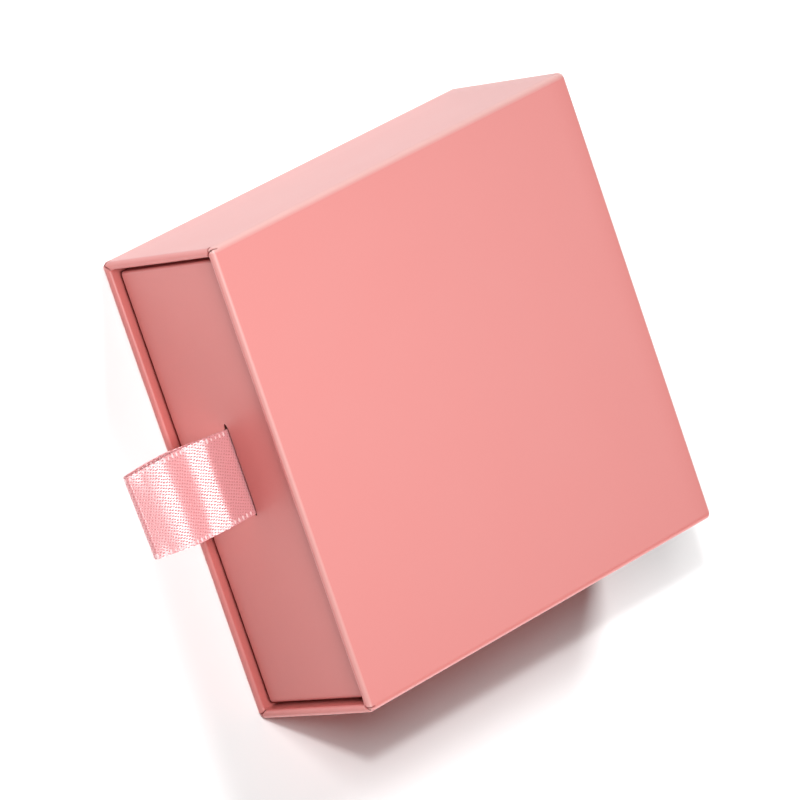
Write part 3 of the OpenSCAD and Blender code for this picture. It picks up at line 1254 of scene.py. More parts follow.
@dataclass
class Drawer:
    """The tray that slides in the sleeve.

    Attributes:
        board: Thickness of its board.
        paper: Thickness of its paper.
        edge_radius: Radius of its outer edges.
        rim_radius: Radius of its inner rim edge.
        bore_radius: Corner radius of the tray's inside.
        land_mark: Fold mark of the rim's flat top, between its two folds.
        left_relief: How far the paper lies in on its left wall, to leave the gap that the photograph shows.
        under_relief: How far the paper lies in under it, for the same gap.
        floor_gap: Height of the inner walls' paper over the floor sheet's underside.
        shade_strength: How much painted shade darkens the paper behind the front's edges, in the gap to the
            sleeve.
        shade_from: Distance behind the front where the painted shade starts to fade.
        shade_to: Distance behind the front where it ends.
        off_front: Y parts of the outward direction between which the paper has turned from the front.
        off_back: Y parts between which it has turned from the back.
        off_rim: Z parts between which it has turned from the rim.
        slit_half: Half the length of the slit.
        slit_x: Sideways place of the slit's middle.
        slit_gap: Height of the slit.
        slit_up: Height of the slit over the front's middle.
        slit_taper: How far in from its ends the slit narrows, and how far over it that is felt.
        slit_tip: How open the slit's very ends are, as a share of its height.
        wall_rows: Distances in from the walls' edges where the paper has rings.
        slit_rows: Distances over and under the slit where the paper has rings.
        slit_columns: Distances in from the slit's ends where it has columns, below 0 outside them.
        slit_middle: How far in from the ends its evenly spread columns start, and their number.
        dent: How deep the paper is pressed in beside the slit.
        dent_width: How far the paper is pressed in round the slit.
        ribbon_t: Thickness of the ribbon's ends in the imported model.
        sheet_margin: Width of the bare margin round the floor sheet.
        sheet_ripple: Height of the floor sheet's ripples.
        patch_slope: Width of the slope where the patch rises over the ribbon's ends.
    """

    board: float = 1.5
    paper: float = 0.2
    edge_radius: float = 0.8
    rim_radius: float = 0.6
    bore_radius: float = 0.25
    land_mark: float = 0.6
    left_relief: float = 0.18
    under_relief: float = 0.19
    floor_gap: float = 0.03
    shade_strength: float = 0.6
    shade_from: float = 0.9
    shade_to: float = 2.2
    off_front: Pair = (-0.75, -0.3)
    off_back: Pair = (0.4, 0.1)
    off_rim: Pair = (0.4, 0.2)
    slit_half: float = 10.0
    slit_x: float = -3.0
    slit_gap: float = 1.2
    slit_up: float = 0.8
    slit_taper: float = 1.2
    slit_tip: float = 0.12
    wall_rows: Pair = (3.0, 8.0)
    slit_rows: tuple[float, ...] = (0.0, 0.12, 0.3, 0.6, 1.2)
    slit_columns: tuple[float, ...] = (-0.8, -0.3, 0.0, 0.15, 0.35, 0.6, 1.0, 1.6, 2.5)
    slit_middle: tuple[float, int] = (4.0, 7)
    dent: float = 0.1
    dent_width: float = 0.35
    ribbon_t: float = 0.4
    sheet_margin: float = 0.1
    sheet_ripple: float = 0.02
    patch_slope: float = 1.4

    def __post_init__(self) -> None:
        """Reads the drawer's outer size from the frame."""
        self.low, self.high = node_span("drawer_wrap")
        self.middle = (self.low + self.high) / 2.0
        self.wall = self.board + 2.0 * self.paper
        self.slit_z = float(self.middle[2]) + self.slit_up

    def stations(self) -> list[Station]:
        """Lays out the tray's paper.

        Returns:
            Its rings, from under the tray, up its walls and down inside.
        """
        bottom, top = float(self.low[2]) + self.under_relief, float(self.high[2])
        r, rim = self.edge_radius, self.rim_radius
        beside_slit = {self.slit_z + side * (self.slit_gap / 2.0 + d) for side in (-1, 1)
                       for d in self.slit_rows}
        in_walls = {place for d in self.wall_rows for place in (bottom + d, top - d)}
        levels = sorted({*beside_slit, self.slit_z, *in_walls})
        floor = float(node_span("drawer_base_liner")[0][2]) + self.floor_gap
        land = self.wall - rim
        found = [Station(r, bottom, -90.0, 0.0)]
        found += fold_arc(r, bottom + r, r, -90.0, 0.0, 1, steps=8)
        found += [Station(0.0, z, 0.0, 0.0) for z in [*levels, top - r]]
        found += fold_arc(r, top - r, r, 0.0, 0.0, 1, steps=8)
        found.append(Station(land, top, 90.0, 0.0, self.land_mark))
        found += fold_arc(land, top - rim, rim, 90.0, 0.0, 1, steps=8)
        found += [Station(self.wall, z, 180.0, 0.0) for z in [*reversed(levels), floor]]
        return found

    def build_wrap(self) -> bpy.types.Object:
        """Makes the tray's paper, with the slit that the ribbon comes out of.

        Returns:
            The paper.
        """
        shift = self.left_relief / 2.0
        half = ((self.high[0] - self.low[0]) / 2.0 - shift, (self.high[1] - self.low[1]) / 2.0)
        centre = self.slit_x - shift
        at_slit = [centre + side * (self.slit_half - t) for side in (-1, 1) for t in self.slit_columns]
        clear, count = self.slit_middle
        at_slit += [centre + t for t in np.linspace(clear - self.slit_half, self.slit_half - clear, count)]
        sides = tuple(side_places(h, self.edge_radius, fine=0.4, fine_for=1.2, coarse=4.5, extra=extra)
                      for h, extra in zip(half, (at_slit, ())))
        outline = Outline(half=half, outer_radius=self.edge_radius, inner_radius=self.bore_radius,
                          wall=self.wall, steady=(25.0, 25.0), arc_steps=8, sides=sides)
        stations = self.stations()
        across, radial, lean, level, fold = outline.sweep(stations)
        x, y = across[..., 0] + shift, across[..., 1] + self.middle[1]
        front = (radial[..., 1] < -0.99) & (np.abs(np.cos(lean)) > 0.99)
        level = np.where(front, self.taper_slit(x, level), level)
        points = np.stack([x, y, level], axis=-1)
        normals = np.stack([radial[..., 0] * np.cos(lean), radial[..., 1] * np.cos(lean),
                            np.sin(lean) + 0.0 * level], axis=-1)
        height = self.slit_dent(x, level) * front
        points += height[..., None] * normals
        # the crease mark here is painted shade on the sides and bottom just behind the front, in the gap to
        # the sleeve
        marks = {"fold": np.maximum(fold, corner_mark(radial)), "crease": self.painted_gap_shade(y, normals)}
        skin = Skin(points, normals, capped=True, holes=self.slit_quads(x, stations, front), marks=marks)
        return skin.build("drawer_wrapping_paper", self.paper)

    def painted_gap_shade(self, y: np.ndarray, normals: np.ndarray) -> np.ndarray:
        """Painted shade on the paper just behind the front's edges, in the gap to the sleeve.

        Args:
            y: Places from the front to the back.
            normals: Outward directions there.

        Returns:
            The darkening, from 0 to 1.
        """
        behind = smooth(normals[..., 1], *self.off_front) * smooth(normals[..., 1], *self.off_back)
        behind *= smooth(normals[..., 2], *self.off_rim)
        return self.shade_strength * behind * (1.0 - smooth(y - float(self.low[1]), self.shade_from, self.shade_to))

    def taper_slit(self, x: np.ndarray, level: np.ndarray) -> np.ndarray:
        """Draws the slit's two edges together at its ends, as a knife leaves them.

        Args:
            x: Places across the front.
            level: Heights on it.

        Returns:
            The new heights.
        """
        from_end = np.clip(self.slit_half - np.abs(x - self.slit_x), 0.0, self.slit_taper) / self.slit_taper
        open_share = self.slit_tip + (1.0 - self.slit_tip) * np.sqrt(from_end)
        offset = level - self.slit_z
        half = self.slit_gap / 2.0
        fade = 1.0 - smooth(np.abs(offset), half, half + self.slit_taper)
        return level - np.sign(offset) * np.minimum(np.abs(offset), half) * (1.0 - open_share) * fade

    def slit_dent(self, x: np.ndarray, level: np.ndarray) -> np.ndarray:
        """How far the paper is pressed in beside the slit.

        Args:
            x: Places across the front.
            level: Heights on it.

        Returns:
            The height to move the paper by, below 0 where it is pressed in.
        """
        beside = np.maximum(np.abs(x - self.slit_x) - self.slit_half, 0.0)
        over = np.maximum(np.abs(level - self.slit_z) - self.slit_gap / 2.0, 0.0)
        return -self.dent * bell(np.hypot(beside, over), self.dent_width)

    def slit_quads(self, x: np.ndarray, stations: Sequence[Station], front: np.ndarray) -> np.ndarray:
        """Marks the quads that the slit leaves out.

        Args:
            x: Places across the tray.
            stations: The rings of the paper.
            front: Which points are on the front wall's two faces.

        Returns:
            A mask of the quads, rings - 1 by columns.
        """
        places = np.array([s.along for s in stations])
        middle_level = (places[:-1] + places[1:]) / 2.0
        middle_x = (x[:-1] + np.roll(x[:-1], -1, axis=1)) / 2.0
        in_height = np.abs(middle_level - self.slit_z)[:, None] < self.slit_gap / 2.0
        in_length = np.abs(middle_x - self.slit_x) < self.slit_half
        return in_height & in_length & front[:-1] & front[1:]

    def build_base_sheet(self) -> bpy.types.Object:
        """Makes the sheet on the tray's floor.

        Returns:
            The sheet.
        """
        low, high = node_span("drawer_base_liner")
        centre = (0.0, float(low[1] + high[1]) / 2.0, float(high[2]))
        size = high - low - 2.0 * self.sheet_margin
        return glued_sheet("drawer_floor_sheet", centre, across=(1.0, 0.0, 0.0), up=(0.0, 1.0, 0.0),
                           size=(size[0], size[1]), thickness=self.paper,
                           relief=lambda u, v: self.sheet_ripple * np.sin(u / 11.0 + 0.4) * np.sin(v / 8.0))

    def build_patch(self) -> bpy.types.Object:
        """Makes the patch over the glued ribbon ends, which stand out under it.

        Returns:
            The patch.
        """
        low, high = node_span("ribbon_patch")
        ends_low, ends_high = node_span("ribbon_ends")
        half_end = ((ends_high[0] - ends_low[0]) / 2.0, (ends_high[2] - ends_low[2]) / 2.0)
        offset = (ends_low[0] + ends_high[0] - low[0] - high[0]) / 2.0
        swell = float(high[1] - low[1]) - self.paper

        def over_ends(u: np.ndarray, v: np.ndarray) -> np.ndarray:
            """The patch lies low at its margin and rises over the ribbon's ends."""
            beside = np.maximum(np.abs(u + offset) - half_end[0], np.abs(v) - half_end[1])
            return -swell * smooth(beside, 0.0, self.patch_slope)

        centre = (float(low[0] + high[0]) / 2.0, float(high[1]), float(low[2] + high[2]) / 2.0)
        return glued_sheet("ribbon_end_patch", centre, across=(-1.0, 0.0, 0.0), up=(0.0, 0.0, 1.0),
                           size=(high[0] - low[0], high[2] - low[2]), thickness=self.paper,
                           relief=over_ends, steps=(72, 60))

    def dress(self, paper: bpy.types.Material, board: bpy.types.Material, tape: bpy.types.Material) -> None:
        """Builds the drawer's papers and gives every node of it its finish.

        Args:
            paper: The wrapping paper's material.
            board: The board's material.
            tape: The tape's material.
        """
        attach(self.build_wrap(), paper, Body.DRAWER, "drawer_wrap")
        attach(self.build_base_sheet(), paper, Body.DRAWER, "drawer_base_liner")
        attach(self.build_patch(), paper, Body.DRAWER, "ribbon_patch")
        keep(("drawer_base_board", "drawer_front_board", "drawer_back_board", "drawer_left_board",
              "drawer_right_board"), board)
        keep(("drawer_corner_tapes",), tape)


# ---------------------------------------------------------------- ribbon


@dataclass
class Ribbon:
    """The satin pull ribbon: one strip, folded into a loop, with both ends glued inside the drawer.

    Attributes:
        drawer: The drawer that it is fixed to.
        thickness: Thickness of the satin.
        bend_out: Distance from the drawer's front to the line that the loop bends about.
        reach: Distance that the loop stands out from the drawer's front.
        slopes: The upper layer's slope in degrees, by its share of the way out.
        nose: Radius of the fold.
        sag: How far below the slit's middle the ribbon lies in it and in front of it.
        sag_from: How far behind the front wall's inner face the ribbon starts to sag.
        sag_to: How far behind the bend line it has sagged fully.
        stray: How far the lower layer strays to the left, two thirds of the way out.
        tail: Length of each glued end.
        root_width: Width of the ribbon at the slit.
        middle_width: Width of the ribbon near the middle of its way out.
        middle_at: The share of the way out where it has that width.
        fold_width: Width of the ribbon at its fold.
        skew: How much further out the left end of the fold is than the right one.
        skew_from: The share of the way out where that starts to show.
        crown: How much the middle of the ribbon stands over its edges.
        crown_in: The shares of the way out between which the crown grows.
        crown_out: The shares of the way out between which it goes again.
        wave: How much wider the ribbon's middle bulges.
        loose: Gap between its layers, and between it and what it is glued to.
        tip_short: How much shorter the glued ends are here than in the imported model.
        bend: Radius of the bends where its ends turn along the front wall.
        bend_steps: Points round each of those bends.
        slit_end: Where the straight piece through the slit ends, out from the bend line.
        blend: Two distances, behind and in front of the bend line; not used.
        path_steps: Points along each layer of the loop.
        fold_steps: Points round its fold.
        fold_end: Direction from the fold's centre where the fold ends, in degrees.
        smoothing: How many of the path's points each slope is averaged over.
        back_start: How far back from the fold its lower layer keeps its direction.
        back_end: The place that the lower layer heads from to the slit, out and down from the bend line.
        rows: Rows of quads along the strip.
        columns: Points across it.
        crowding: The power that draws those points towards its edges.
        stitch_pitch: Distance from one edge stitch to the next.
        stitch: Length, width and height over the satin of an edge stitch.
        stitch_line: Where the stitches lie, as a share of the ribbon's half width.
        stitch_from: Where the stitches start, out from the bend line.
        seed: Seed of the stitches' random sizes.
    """

    drawer: Drawer
    thickness: float = 0.28
    bend_out: float = 0.6
    reach: float = 24.5
    slopes: tuple[Pair, ...] = ((0.0, 0.0), (0.15, -8.0), (0.25, -12.5), (0.32, -13.0), (0.4, -9.0),
                                (0.515, -2.0), (0.62, -7.0), (0.71, -13.0), (0.8, -15.0), (1.0, -20.0))
    nose: float = 0.7
    sag: float = 0.2
    sag_from: float = 0.6
    sag_to: float = 1.2
    stray: float = 0.35
    tail: float = 7.0
    root_width: float = 18.4
    middle_width: float = 19.1
    middle_at: float = 0.55
    fold_width: float = 17.8
    skew: float = 0.8
    skew_from: float = 0.1
    crown: float = 0.25
    crown_in: Pair = (0.1, 0.6)
    crown_out: Pair = (0.85, 1.0)
    wave: float = 0.25
    loose: float = 0.01
    tip_short: float = 0.08
    bend: float = 0.25
    bend_steps: int = 7
    slit_end: float = -0.4
    blend: Pair = (0.5, 1.2)
    path_steps: int = 90
    fold_steps: int = 30
    fold_end: float = -98.0
    smoothing: int = 9
    back_start: float = 9.0
    back_end: Pair = (5.0, 0.4)
    rows: int = 419
    columns: int = 41
    crowding: float = 0.85
    stitch_pitch: float = 1.05
    stitch: Triple = (1.3, 0.66, 0.12)
    stitch_line: float = 0.93
    stitch_from: float = 0.3
    seed: int = 7

    def __post_init__(self) -> None:
        """Works out where the ribbon lies in the drawer's front."""
        low, high = node_span("ribbon_loop")
        self.middle_x = float(low[0] + high[0]) / 2.0
        self.layer = self.thickness / 2.0 + self.loose
        self.bend_y = float(self.drawer.low[1]) - self.bend_out
        self.length_out = self.reach - self.bend_out

    def loop_path(self) -> np.ndarray:
        """The loop's middle line outside the drawer, from its upper root round the fold to its lower one.

        Returns:
            (out, up) places from the bend line.
        """
        out = np.linspace(0.0, self.length_out - self.nose, self.path_steps)
        shares, slopes = zip(*self.slopes)
        lean = np.interp(out / self.length_out, shares, slopes)
        even = np.ones(self.smoothing) / self.smoothing
        lean = np.convolve(np.pad(lean, self.smoothing // 2, mode="edge"), even, mode="valid")
        rise = np.tan(np.radians((lean[1:] + lean[:-1]) / 2.0)) * np.diff(out)
        upper = np.stack([out, self.layer + np.concatenate([[0.0], np.cumsum(rise)])], axis=1)
        round_from, round_to = math.radians(90.0 + lean[-1]), math.radians(self.fold_end)
        centre = upper[-1] - self.nose * np.array([math.cos(round_from), math.sin(round_from)])
        angles = np.linspace(round_from, round_to, self.fold_steps)[1:]
        fold = centre + self.nose * np.stack([np.cos(angles), np.sin(angles)], axis=1)
        t = np.linspace(0.0, 1.0, self.path_steps)[1:, None]
        back = np.array([math.sin(round_to), -math.cos(round_to)])
        knots = (fold[-1], fold[-1] + self.back_start * back,
                 np.array([self.back_end[0], -self.layer - self.back_end[1]]), np.array([0.0, -self.layer]))
        weights = ((1 - t) ** 3, 3 * (1 - t) ** 2 * t, 3 * (1 - t) * t**2, t**3)
        return np.concatenate([upper, fold, sum(w * k for w, k in zip(weights, knots))])

    def strip_path(self) -> tuple[np.ndarray, np.ndarray]:
        """The whole strip's middle line, from one glued end to the other.

        Returns:
            (out, up) places, evenly spaced, and their distances along the strip.
        """
        glued = -self.bend_out - self.drawer.wall - self.thickness / 2.0 - 2.0 * self.loose
        ends = []
        for side in (1, -1):
            level = side * self.layer
            turn = [(glued + self.bend * (1.0 - math.cos(a)), level + side * self.bend * (1.0 - math.sin(a)))
                    for a in np.linspace(0.0, QUARTER_TURN, self.bend_steps)]
            tip = (glued, side * (self.drawer.ribbon_t + self.tail - self.tip_short))
            ends.append(np.array([tip, *turn, (self.slit_end, level)]))
        rough = np.concatenate([ends[0], self.loop_path(), ends[1][::-1]])
        steps = np.linalg.norm(np.diff(rough, axis=0), axis=1)
        travelled = np.concatenate([[0.0], np.cumsum(steps)])
        places = np.linspace(0.0, travelled[-1], self.rows + 1)
        path = np.stack([np.interp(places, travelled, rough[:, k]) for k in range(2)], axis=1)
        return path, places

    def surface(self, path: np.ndarray, share: np.ndarray) -> np.ndarray:
        """Places on the ribbon.

        Args:
            path: (out, up) places of the middle line, rows by 2.
            share: Places across the ribbon, from -1 to 1.

        Returns:
            Places in millimetres, rows by columns by 3.
        """
        out = np.clip(path[:, 0], 0.0, self.length_out) / self.length_out
        widths = (self.root_width, self.middle_width, self.fold_width)
        width = np.interp(out, (0.0, self.middle_at, 1.0), widths)
        width += self.wave * np.sin(math.pi * out)
        x = share[None, :] * width[:, None] / 2.0
        lower = np.arange(len(path)) > int(np.argmax(path[:, 0]))
        x = x - (self.stray * lower * out**2 * (1.0 - out) * STRAY_PEAK)[:, None]
        way = np.gradient(path, axis=0)
        way /= np.linalg.norm(way, axis=1)[:, None]
        facing = np.stack([-way[:, 1], way[:, 0]], axis=1)
        crown = self.crown * smooth(out, *self.crown_in) * (1.0 - smooth(out, *self.crown_out))
        bulge = crown[:, None] * (share[None, :] ** 2)
        skewed = smooth(out, self.skew_from, 1.0)[:, None]
        stretch = 1.0 - self.skew / self.length_out / 2.0 * share[None, :] * skewed
        outward = path[:, 0:1] * stretch - facing[:, 0:1] * bulge
        up = path[:, 1:2] - facing[:, 1:2] * bulge
        inner_face = -self.bend_out - self.drawer.wall
        settle = self.sag * smooth(path[:, 0:1], inner_face - self.sag_from, -self.bend_out - self.sag_to)
        return np.stack([self.middle_x + x, self.bend_y - outward + 0.0 * x,
                         self.drawer.slit_z - settle + up + 0.0 * x], axis=-1)

    def build_strip(self) -> bpy.types.Object:
        """Makes the satin strip, with its UV map in millimetres of flat ribbon.

        Returns:
            The strip.
        """
        path, places = self.strip_path()
        share = np.linspace(-1.0, 1.0, self.columns)
        share = np.sign(share) * np.abs(share) ** self.crowding
        middle = self.surface(path, share)
        along = np.gradient(middle, axis=0)
        aside = np.gradient(middle, axis=1)
        normals = np.cross(aside, along)
        normals /= np.linalg.norm(normals, axis=-1)[..., None]
        flat = np.stack([share[None, :] * self.middle_width / 2.0 + 0.0 * places[:, None],
                         places[:, None] + 0.0 * share[None, :]], axis=-1)
        self.length = float(places[-1])
        skin = Skin(middle + normals * self.thickness / 2.0, normals, closed=False, flat=flat,
                    marks={"fold": np.zeros(middle.shape[:2])})
        return skin.build("pull_ribbon", self.thickness)

    def edge_guide(self) -> bpy.types.Object:
        """Makes the lines along the ribbon's two woven edges that the stitches follow.

        Returns:
            The lines, as one piece.
        """
        path, _ = self.strip_path()
        outside = path[:, 0] > self.stitch_from
        first = int(np.argmax(outside))
        last = len(path) - int(np.argmax(outside[::-1]))
        corners, edges = [], []
        for side in (-1.0, 1.0):
            line = self.surface(path[first:last], np.array([side * self.stitch_line]))[:, 0] * MM
            start = len(corners)
            corners += line.tolist()
            edges += [(start + i, start + i + 1) for i in range(len(line) - 1)]
        mesh = bpy.data.meshes.new("ribbon_edge_lines")
        mesh.from_pydata(corners, edges, [])
        return put_in_scene("ribbon_edge_stitches", mesh)

    def build_stitches(self, thread: bpy.types.Material) -> bpy.types.Object:
        """Lays the edge stitches along the guide and makes them one plain mesh.

        Args:
            thread: The stitches' material.

        Returns:
            The stitches.
        """
        guide = self.edge_guide()
        tree = stitch_tree(thread)
        modifier = guide.modifiers.new("stitches", "NODES")
        modifier.node_group = tree
        length, width, over = self.stitch
        values = {"Pitch": self.stitch_pitch * MM, "Length": length * MM, "Width": width * MM,
                  "Height": (self.thickness + over) * MM, "Seed": self.seed}
        for item in tree.interface.items_tree:
            if item.in_out == "INPUT" and item.name in values:
                modifier[item.identifier] = values[item.name]
        graph = bpy.context.evaluated_depsgraph_get()
        mesh = bpy.data.meshes.new_from_object(guide.evaluated_get(graph), depsgraph=graph)
        guide.modifiers.clear()
        guide.data = mesh
        mesh.name = "ribbon_edge_stitches"
        mesh.shade_smooth()
        return guide

    def dress(self, satin: bpy.types.Material, thread: bpy.types.Material) -> list[bpy.types.Object]:
        """Builds the ribbon and its stitches, gives them their materials and hides the imported ribbon nodes.

        Args:
            satin: The strip's material.
            thread: The stitches' material.

        Returns:
            The strip and the stitches.
        """
        strip = self.build_strip()
        stitches = self.build_stitches(thread)
        for piece, material in ((strip, satin), (stitches, thread)):
            dress(piece, material)
            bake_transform(piece)
            log.info("%s is %s", piece.name, material.name)
        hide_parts("ribbon_loop", "ribbon_ends")
        log.info("pull_ribbon is %.1f mm long", self.length)
        return [strip, stitches]


def stitch_tree(thread: bpy.types.Material) -> bpy.types.NodeTree:
    """The Geometry Nodes tree that lays edge stitches along a line.

    Args:
        thread: The stitches' material.

    Returns:
        The tree, with named inputs for its sizes and a seed.
    """
    sizes = ("Length", "Width", "Height")
    tree, w = group_tree("Edge stitches", "GeometryNodeTree",
                         [("Geometry", "NodeSocketGeometry", None), ("Seed", "NodeSocketInt", 0),
                          *((name, "NodeSocketFloat", 0.0) for name in ("Pitch", *sizes))],
                         [("Geometry", "NodeSocketGeometry")])
    given = w.add("NodeGroupInput").outputs
    curve = w.add("GeometryNodeMeshToCurve")
    w.feed(curve.inputs["Mesh"], given["Geometry"])
    points = w.add("GeometryNodeCurveToPoints", mode="LENGTH")
    w.fill(points.inputs, {"Curve": curve.outputs["Curve"], "Length": given["Pitch"]})
    turned = w.add("FunctionNodeAlignRotationToVector", axis="Y", pivot_axis="X")
    w.feed(turned.inputs["Vector"], points.outputs["Tangent"])
    bead = w.add("GeometryNodeMeshUVSphere")
    w.fill(bead.inputs, BEAD)
    shape = w.add("ShaderNodeCombineXYZ")
    w.fill(shape.inputs, {axis: given[name] for axis, name in zip("XYZ", sizes)})
    stray = w.add("FunctionNodeRandomValue", data_type="FLOAT")
    stray.inputs[2].default_value, stray.inputs[3].default_value = STITCH_STRAY
    w.feed(stray.inputs["Seed"], given["Seed"])
    scaled = w.add("ShaderNodeVectorMath", operation="SCALE")
    w.feed(scaled.inputs[0], shape.outputs[0])
    w.feed(scaled.inputs["Scale"], stray.outputs[1])
    laid = w.add("GeometryNodeInstanceOnPoints")
    w.fill(laid.inputs, {"Points": points.outputs["Points"], "Instance": bead.outputs["Mesh"],
                         "Rotation": turned.outputs["Rotation"], "Scale": scaled.outputs[0]})
    real = w.add("GeometryNodeRealizeInstances")
    w.feed(real.inputs["Geometry"], laid.outputs["Instances"])
    finished = w.add("GeometryNodeSetMaterial")
    w.fill(finished.inputs, {"Geometry": real.outputs["Geometry"], "Material": thread})
    w.feed(w.add("NodeGroupOutput").inputs["Geometry"], finished.outputs["Geometry"])
    return tree


# ---------------------------------------------------------------- studio


@dataclass(frozen=True)
class Softbox:
    """A soft light of the studio.

    Attributes:
        name: Its name.
        azimuth: Where it stands round the box, from straight in front of the mouth, in degrees.
        elevation: How high it stands, in degrees.
        distance: How far it is from the box, in metres.
        size: Its width and height, in metres.
        power: Its power, in watts.
        reach: What it lights.
    """

    name: str
    azimuth: float
    elevation: float
    distance: float
    size: Pair
    power: float
    reach: Reach

    def build(self, floor: bpy.types.Object, ribbon: Sequence[bpy.types.Object]) -> None:
        """Makes the light, aimed at the box and hidden from the camera.

        Args:
            floor: The floor.
            ribbon: The ribbon's pieces.
        """
        light = bpy.data.lights.new(self.name, "AREA")
        light.shape = "RECTANGLE"
        light.size, light.size_y = self.size
        light.energy = self.power
        lamp = put_in_scene(self.name, light)
        back = heading(self.azimuth, self.elevation)
        lamp.location = back * self.distance
        lamp.rotation_mode = "QUATERNION"
        lamp.rotation_quaternion = back.to_track_quat("Z", "Y")
        lamp.visible_camera = False
        state, pieces = {Reach.BOX: ("EXCLUDE", [floor]), Reach.PAPER: ("EXCLUDE", [floor, *ribbon]),
                         Reach.RIBBON: ("INCLUDE", ribbon), Reach.FLOOR: ("INCLUDE", [floor])}[self.reach]
        lamp.light_linking.receiver_collection = linked(self.name, state, pieces)
        if self.reach is Reach.FLOOR:
            lamp.light_linking.blocker_collection = linked(f"{self.name} shadow", "EXCLUDE", ribbon)


def linked(name: str, state: str, pieces: Iterable[bpy.types.Object]) -> bpy.types.Collection:
    """Makes the collection by which a light takes in or leaves out some pieces.

    Args:
        name: The collection's name.
        state: INCLUDE or EXCLUDE.
        pieces: The pieces.

    Returns:
        The collection.
    """
    collection = bpy.data.collections.new(name)
    for piece in pieces:
        collection.objects.link(piece)
    for item in collection.collection_objects:
        item.light_linking.link_state = state
    return collection


def heading(azimuth: float, elevation: float) -> Vector:
    """The direction from the box to a place round it.

    Args:
        azimuth: Angle from straight in front of the mouth towards the right side, in degrees.
        elevation: Angle above the floor, in degrees.

    Returns:
        A unit vector.
    """
    a, e = math.radians(azimuth), math.radians(elevation)
    return Vector((math.sin(a) * math.cos(e), -math.cos(a) * math.cos(e), math.sin(e)))


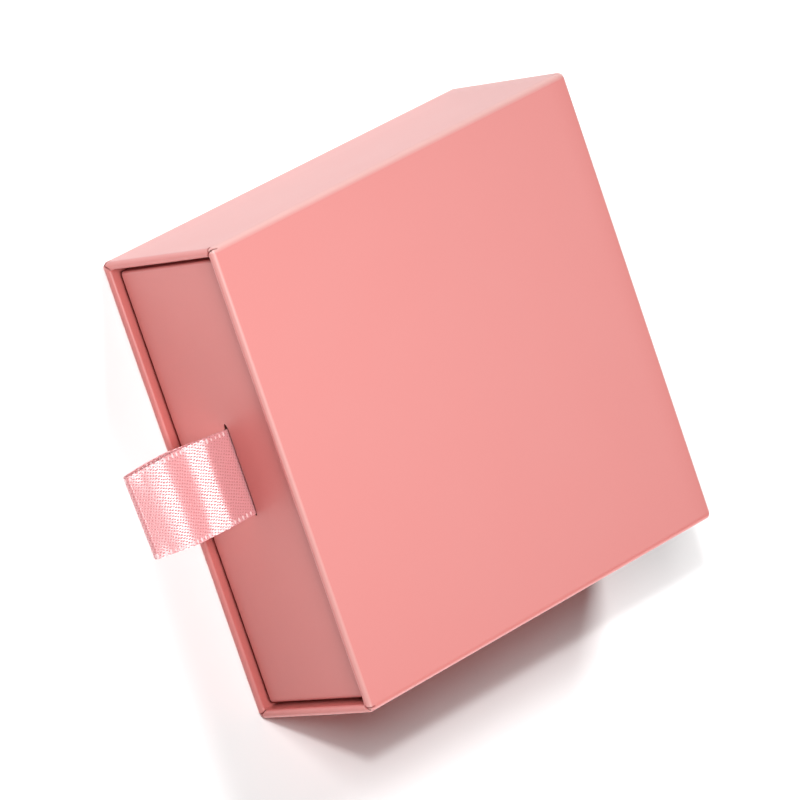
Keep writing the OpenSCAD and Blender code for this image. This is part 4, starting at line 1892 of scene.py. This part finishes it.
@dataclass
class Studio:
    """The pale floor, the soft light and the camera.

    Attributes:
        target: The point that the camera looks at, in metres.
        azimuth: The camera's place round the box, in degrees.
        elevation: The camera's height, in degrees.
        roll: How far the camera is turned about its own view, in degrees.
        distance: The camera's distance from the target, in metres.
        lens: Its focal length, in millimetres.
        sensor: The width of its sensor, in millimetres.
        clip: The nearest and the furthest that it sees, in metres.
        floor_reach: How far the floor goes from the middle, in metres.
        floor_tone: The floor's linear tone.
        floor_roughness: Its roughness.
        floor_gloss: How much light its surface mirrors, as the shader counts it.
        surround: Strength of the light from the white surroundings.
        lights: The softboxes.
    """

    target: Triple = (0.00054, -0.00238, 0.01562)
    azimuth: float = -17.0
    elevation: float = 48.44
    roll: float = 83.98
    distance: float = 1.441
    lens: float = 315.0
    sensor: float = 36.0
    clip: Pair = (0.05, 20.0)
    floor_reach: float = 3.0
    floor_tone: float = 0.93
    floor_roughness: float = 0.7
    floor_gloss: float = 0.2
    surround: float = 0.02
    lights: tuple[Softbox, ...] = (
        Softbox("key", azimuth=-24.0, elevation=61.0, distance=0.4, size=(0.15, 0.15), power=1.18,
                reach=Reach.BOX),
        Softbox("low left panel", azimuth=-100.0, elevation=20.0, distance=1.2, size=(1.2, 0.6), power=3.0,
                reach=Reach.BOX),
        Softbox("sheen panel", azimuth=167.0, elevation=56.0, distance=0.59, size=(0.3, 0.3), power=1.25,
                reach=Reach.PAPER),
        Softbox("low right panel", azimuth=95.0, elevation=12.0, distance=0.8, size=(0.5, 0.25), power=4.5,
                reach=Reach.BOX),
        Softbox("overhead panel", azimuth=0.0, elevation=89.0, distance=1.2, size=(1.0, 1.0), power=2.8,
                reach=Reach.PAPER),
        Softbox("ribbon panel", azimuth=127.0, elevation=76.3, distance=0.584, size=(0.13, 0.13), power=1.3,
                reach=Reach.RIBBON),
        Softbox("crisp wash", azimuth=-37.0, elevation=48.5, distance=2.0, size=(0.1, 0.1), power=16.5,
                reach=Reach.FLOOR),
        Softbox("soft wash", azimuth=-37.0, elevation=48.5, distance=2.0, size=(0.8, 0.8), power=31.0,
                reach=Reach.FLOOR),
        Softbox("back wash", azimuth=-120.0, elevation=45.0, distance=2.0, size=(0.6, 0.6), power=36.0,
                reach=Reach.FLOOR),
    )

    def build_camera(self) -> None:
        """Makes the camera at the photograph's view of the box."""
        data = bpy.data.cameras.new("camera")
        data.lens = self.lens
        data.sensor_width = self.sensor
        data.clip_start, data.clip_end = self.clip
        camera = put_in_scene("camera", data)
        back = heading(self.azimuth, self.elevation)
        level = back.to_track_quat("Z", "Y").to_matrix()
        turned = level @ Matrix.Rotation(math.radians(self.roll), 3, "Z")
        camera.matrix_world = Matrix.Translation(Vector(self.target) + back * self.distance) @ turned.to_4x4()
        bpy.context.scene.camera = camera

    def build_floor(self) -> bpy.types.Object:
        """Makes the pale floor that the box lies on.

        Returns:
            The floor.
        """
        mesh = bpy.data.meshes.new("studio_floor")
        reach = self.floor_reach
        places = [(x * reach, y * reach, 0.0) for x, y in ((-1, -1), (1, -1), (1, 1), (-1, 1))]
        mesh.from_pydata(places, [], [(0, 1, 2, 3)])
        floor = put_in_scene("studio_floor", mesh)
        material, w, shader = principled("Studio paper")
        tone = (self.floor_tone, self.floor_tone, self.floor_tone, 1.0)
        w.fill(shader, {"Base Color": tone, "Roughness": self.floor_roughness,
                        "Specular IOR Level": self.floor_gloss})
        dress(floor, material)
        return floor

    def build_surround(self) -> None:
        """Makes the surroundings, which look white and light the box only faintly."""
        world = bpy.data.worlds.new("white surroundings")
        world.use_nodes = True
        w = Wiring(world.node_tree)
        background = world.node_tree.nodes["Background"]
        background.inputs["Color"].default_value = (1.0, 1.0, 1.0, 1.0)
        seen = w.add("ShaderNodeLightPath").outputs["Is Camera Ray"]
        w.feed(background.inputs["Strength"], w.math("MAXIMUM", seen, self.surround))
        bpy.context.scene.world = world

    def build(self, ribbon: Sequence[bpy.types.Object]) -> None:
        """Makes the whole studio.

        Args:
            ribbon: The ribbon's pieces, which some lights take in or leave out.
        """
        bpy.context.scene.view_settings.view_transform = "Standard"
        self.build_surround()
        floor = self.build_floor()
        for light in self.lights:
            light.build(floor, ribbon)
        self.build_camera()


def corners(span: tuple[Vector, Vector]) -> list[list[float]]:
    """A box's two corners as plain lists."""
    return [list(span[0]), list(span[1])]


def main() -> None:
    """Builds the box's looks, piece by piece."""
    logging.basicConfig(level=logging.INFO, format="%(name)s: %(message)s")
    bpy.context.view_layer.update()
    finishes = Finishes()
    paper = PINK_PAPER.make(finishes)
    board = GREYBOARD.make(finishes)
    tape = KRAFT_TAPE.make(finishes)
    Sleeve().dress(paper, board, tape)
    drawer = Drawer()
    drawer.dress(paper, board, tape)
    ribbon = Ribbon(drawer).dress(SATIN.make(finishes), EDGE_THREAD.make(finishes))
    Studio().build(ribbon)
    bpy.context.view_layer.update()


if __name__ == "__main__":
    main()
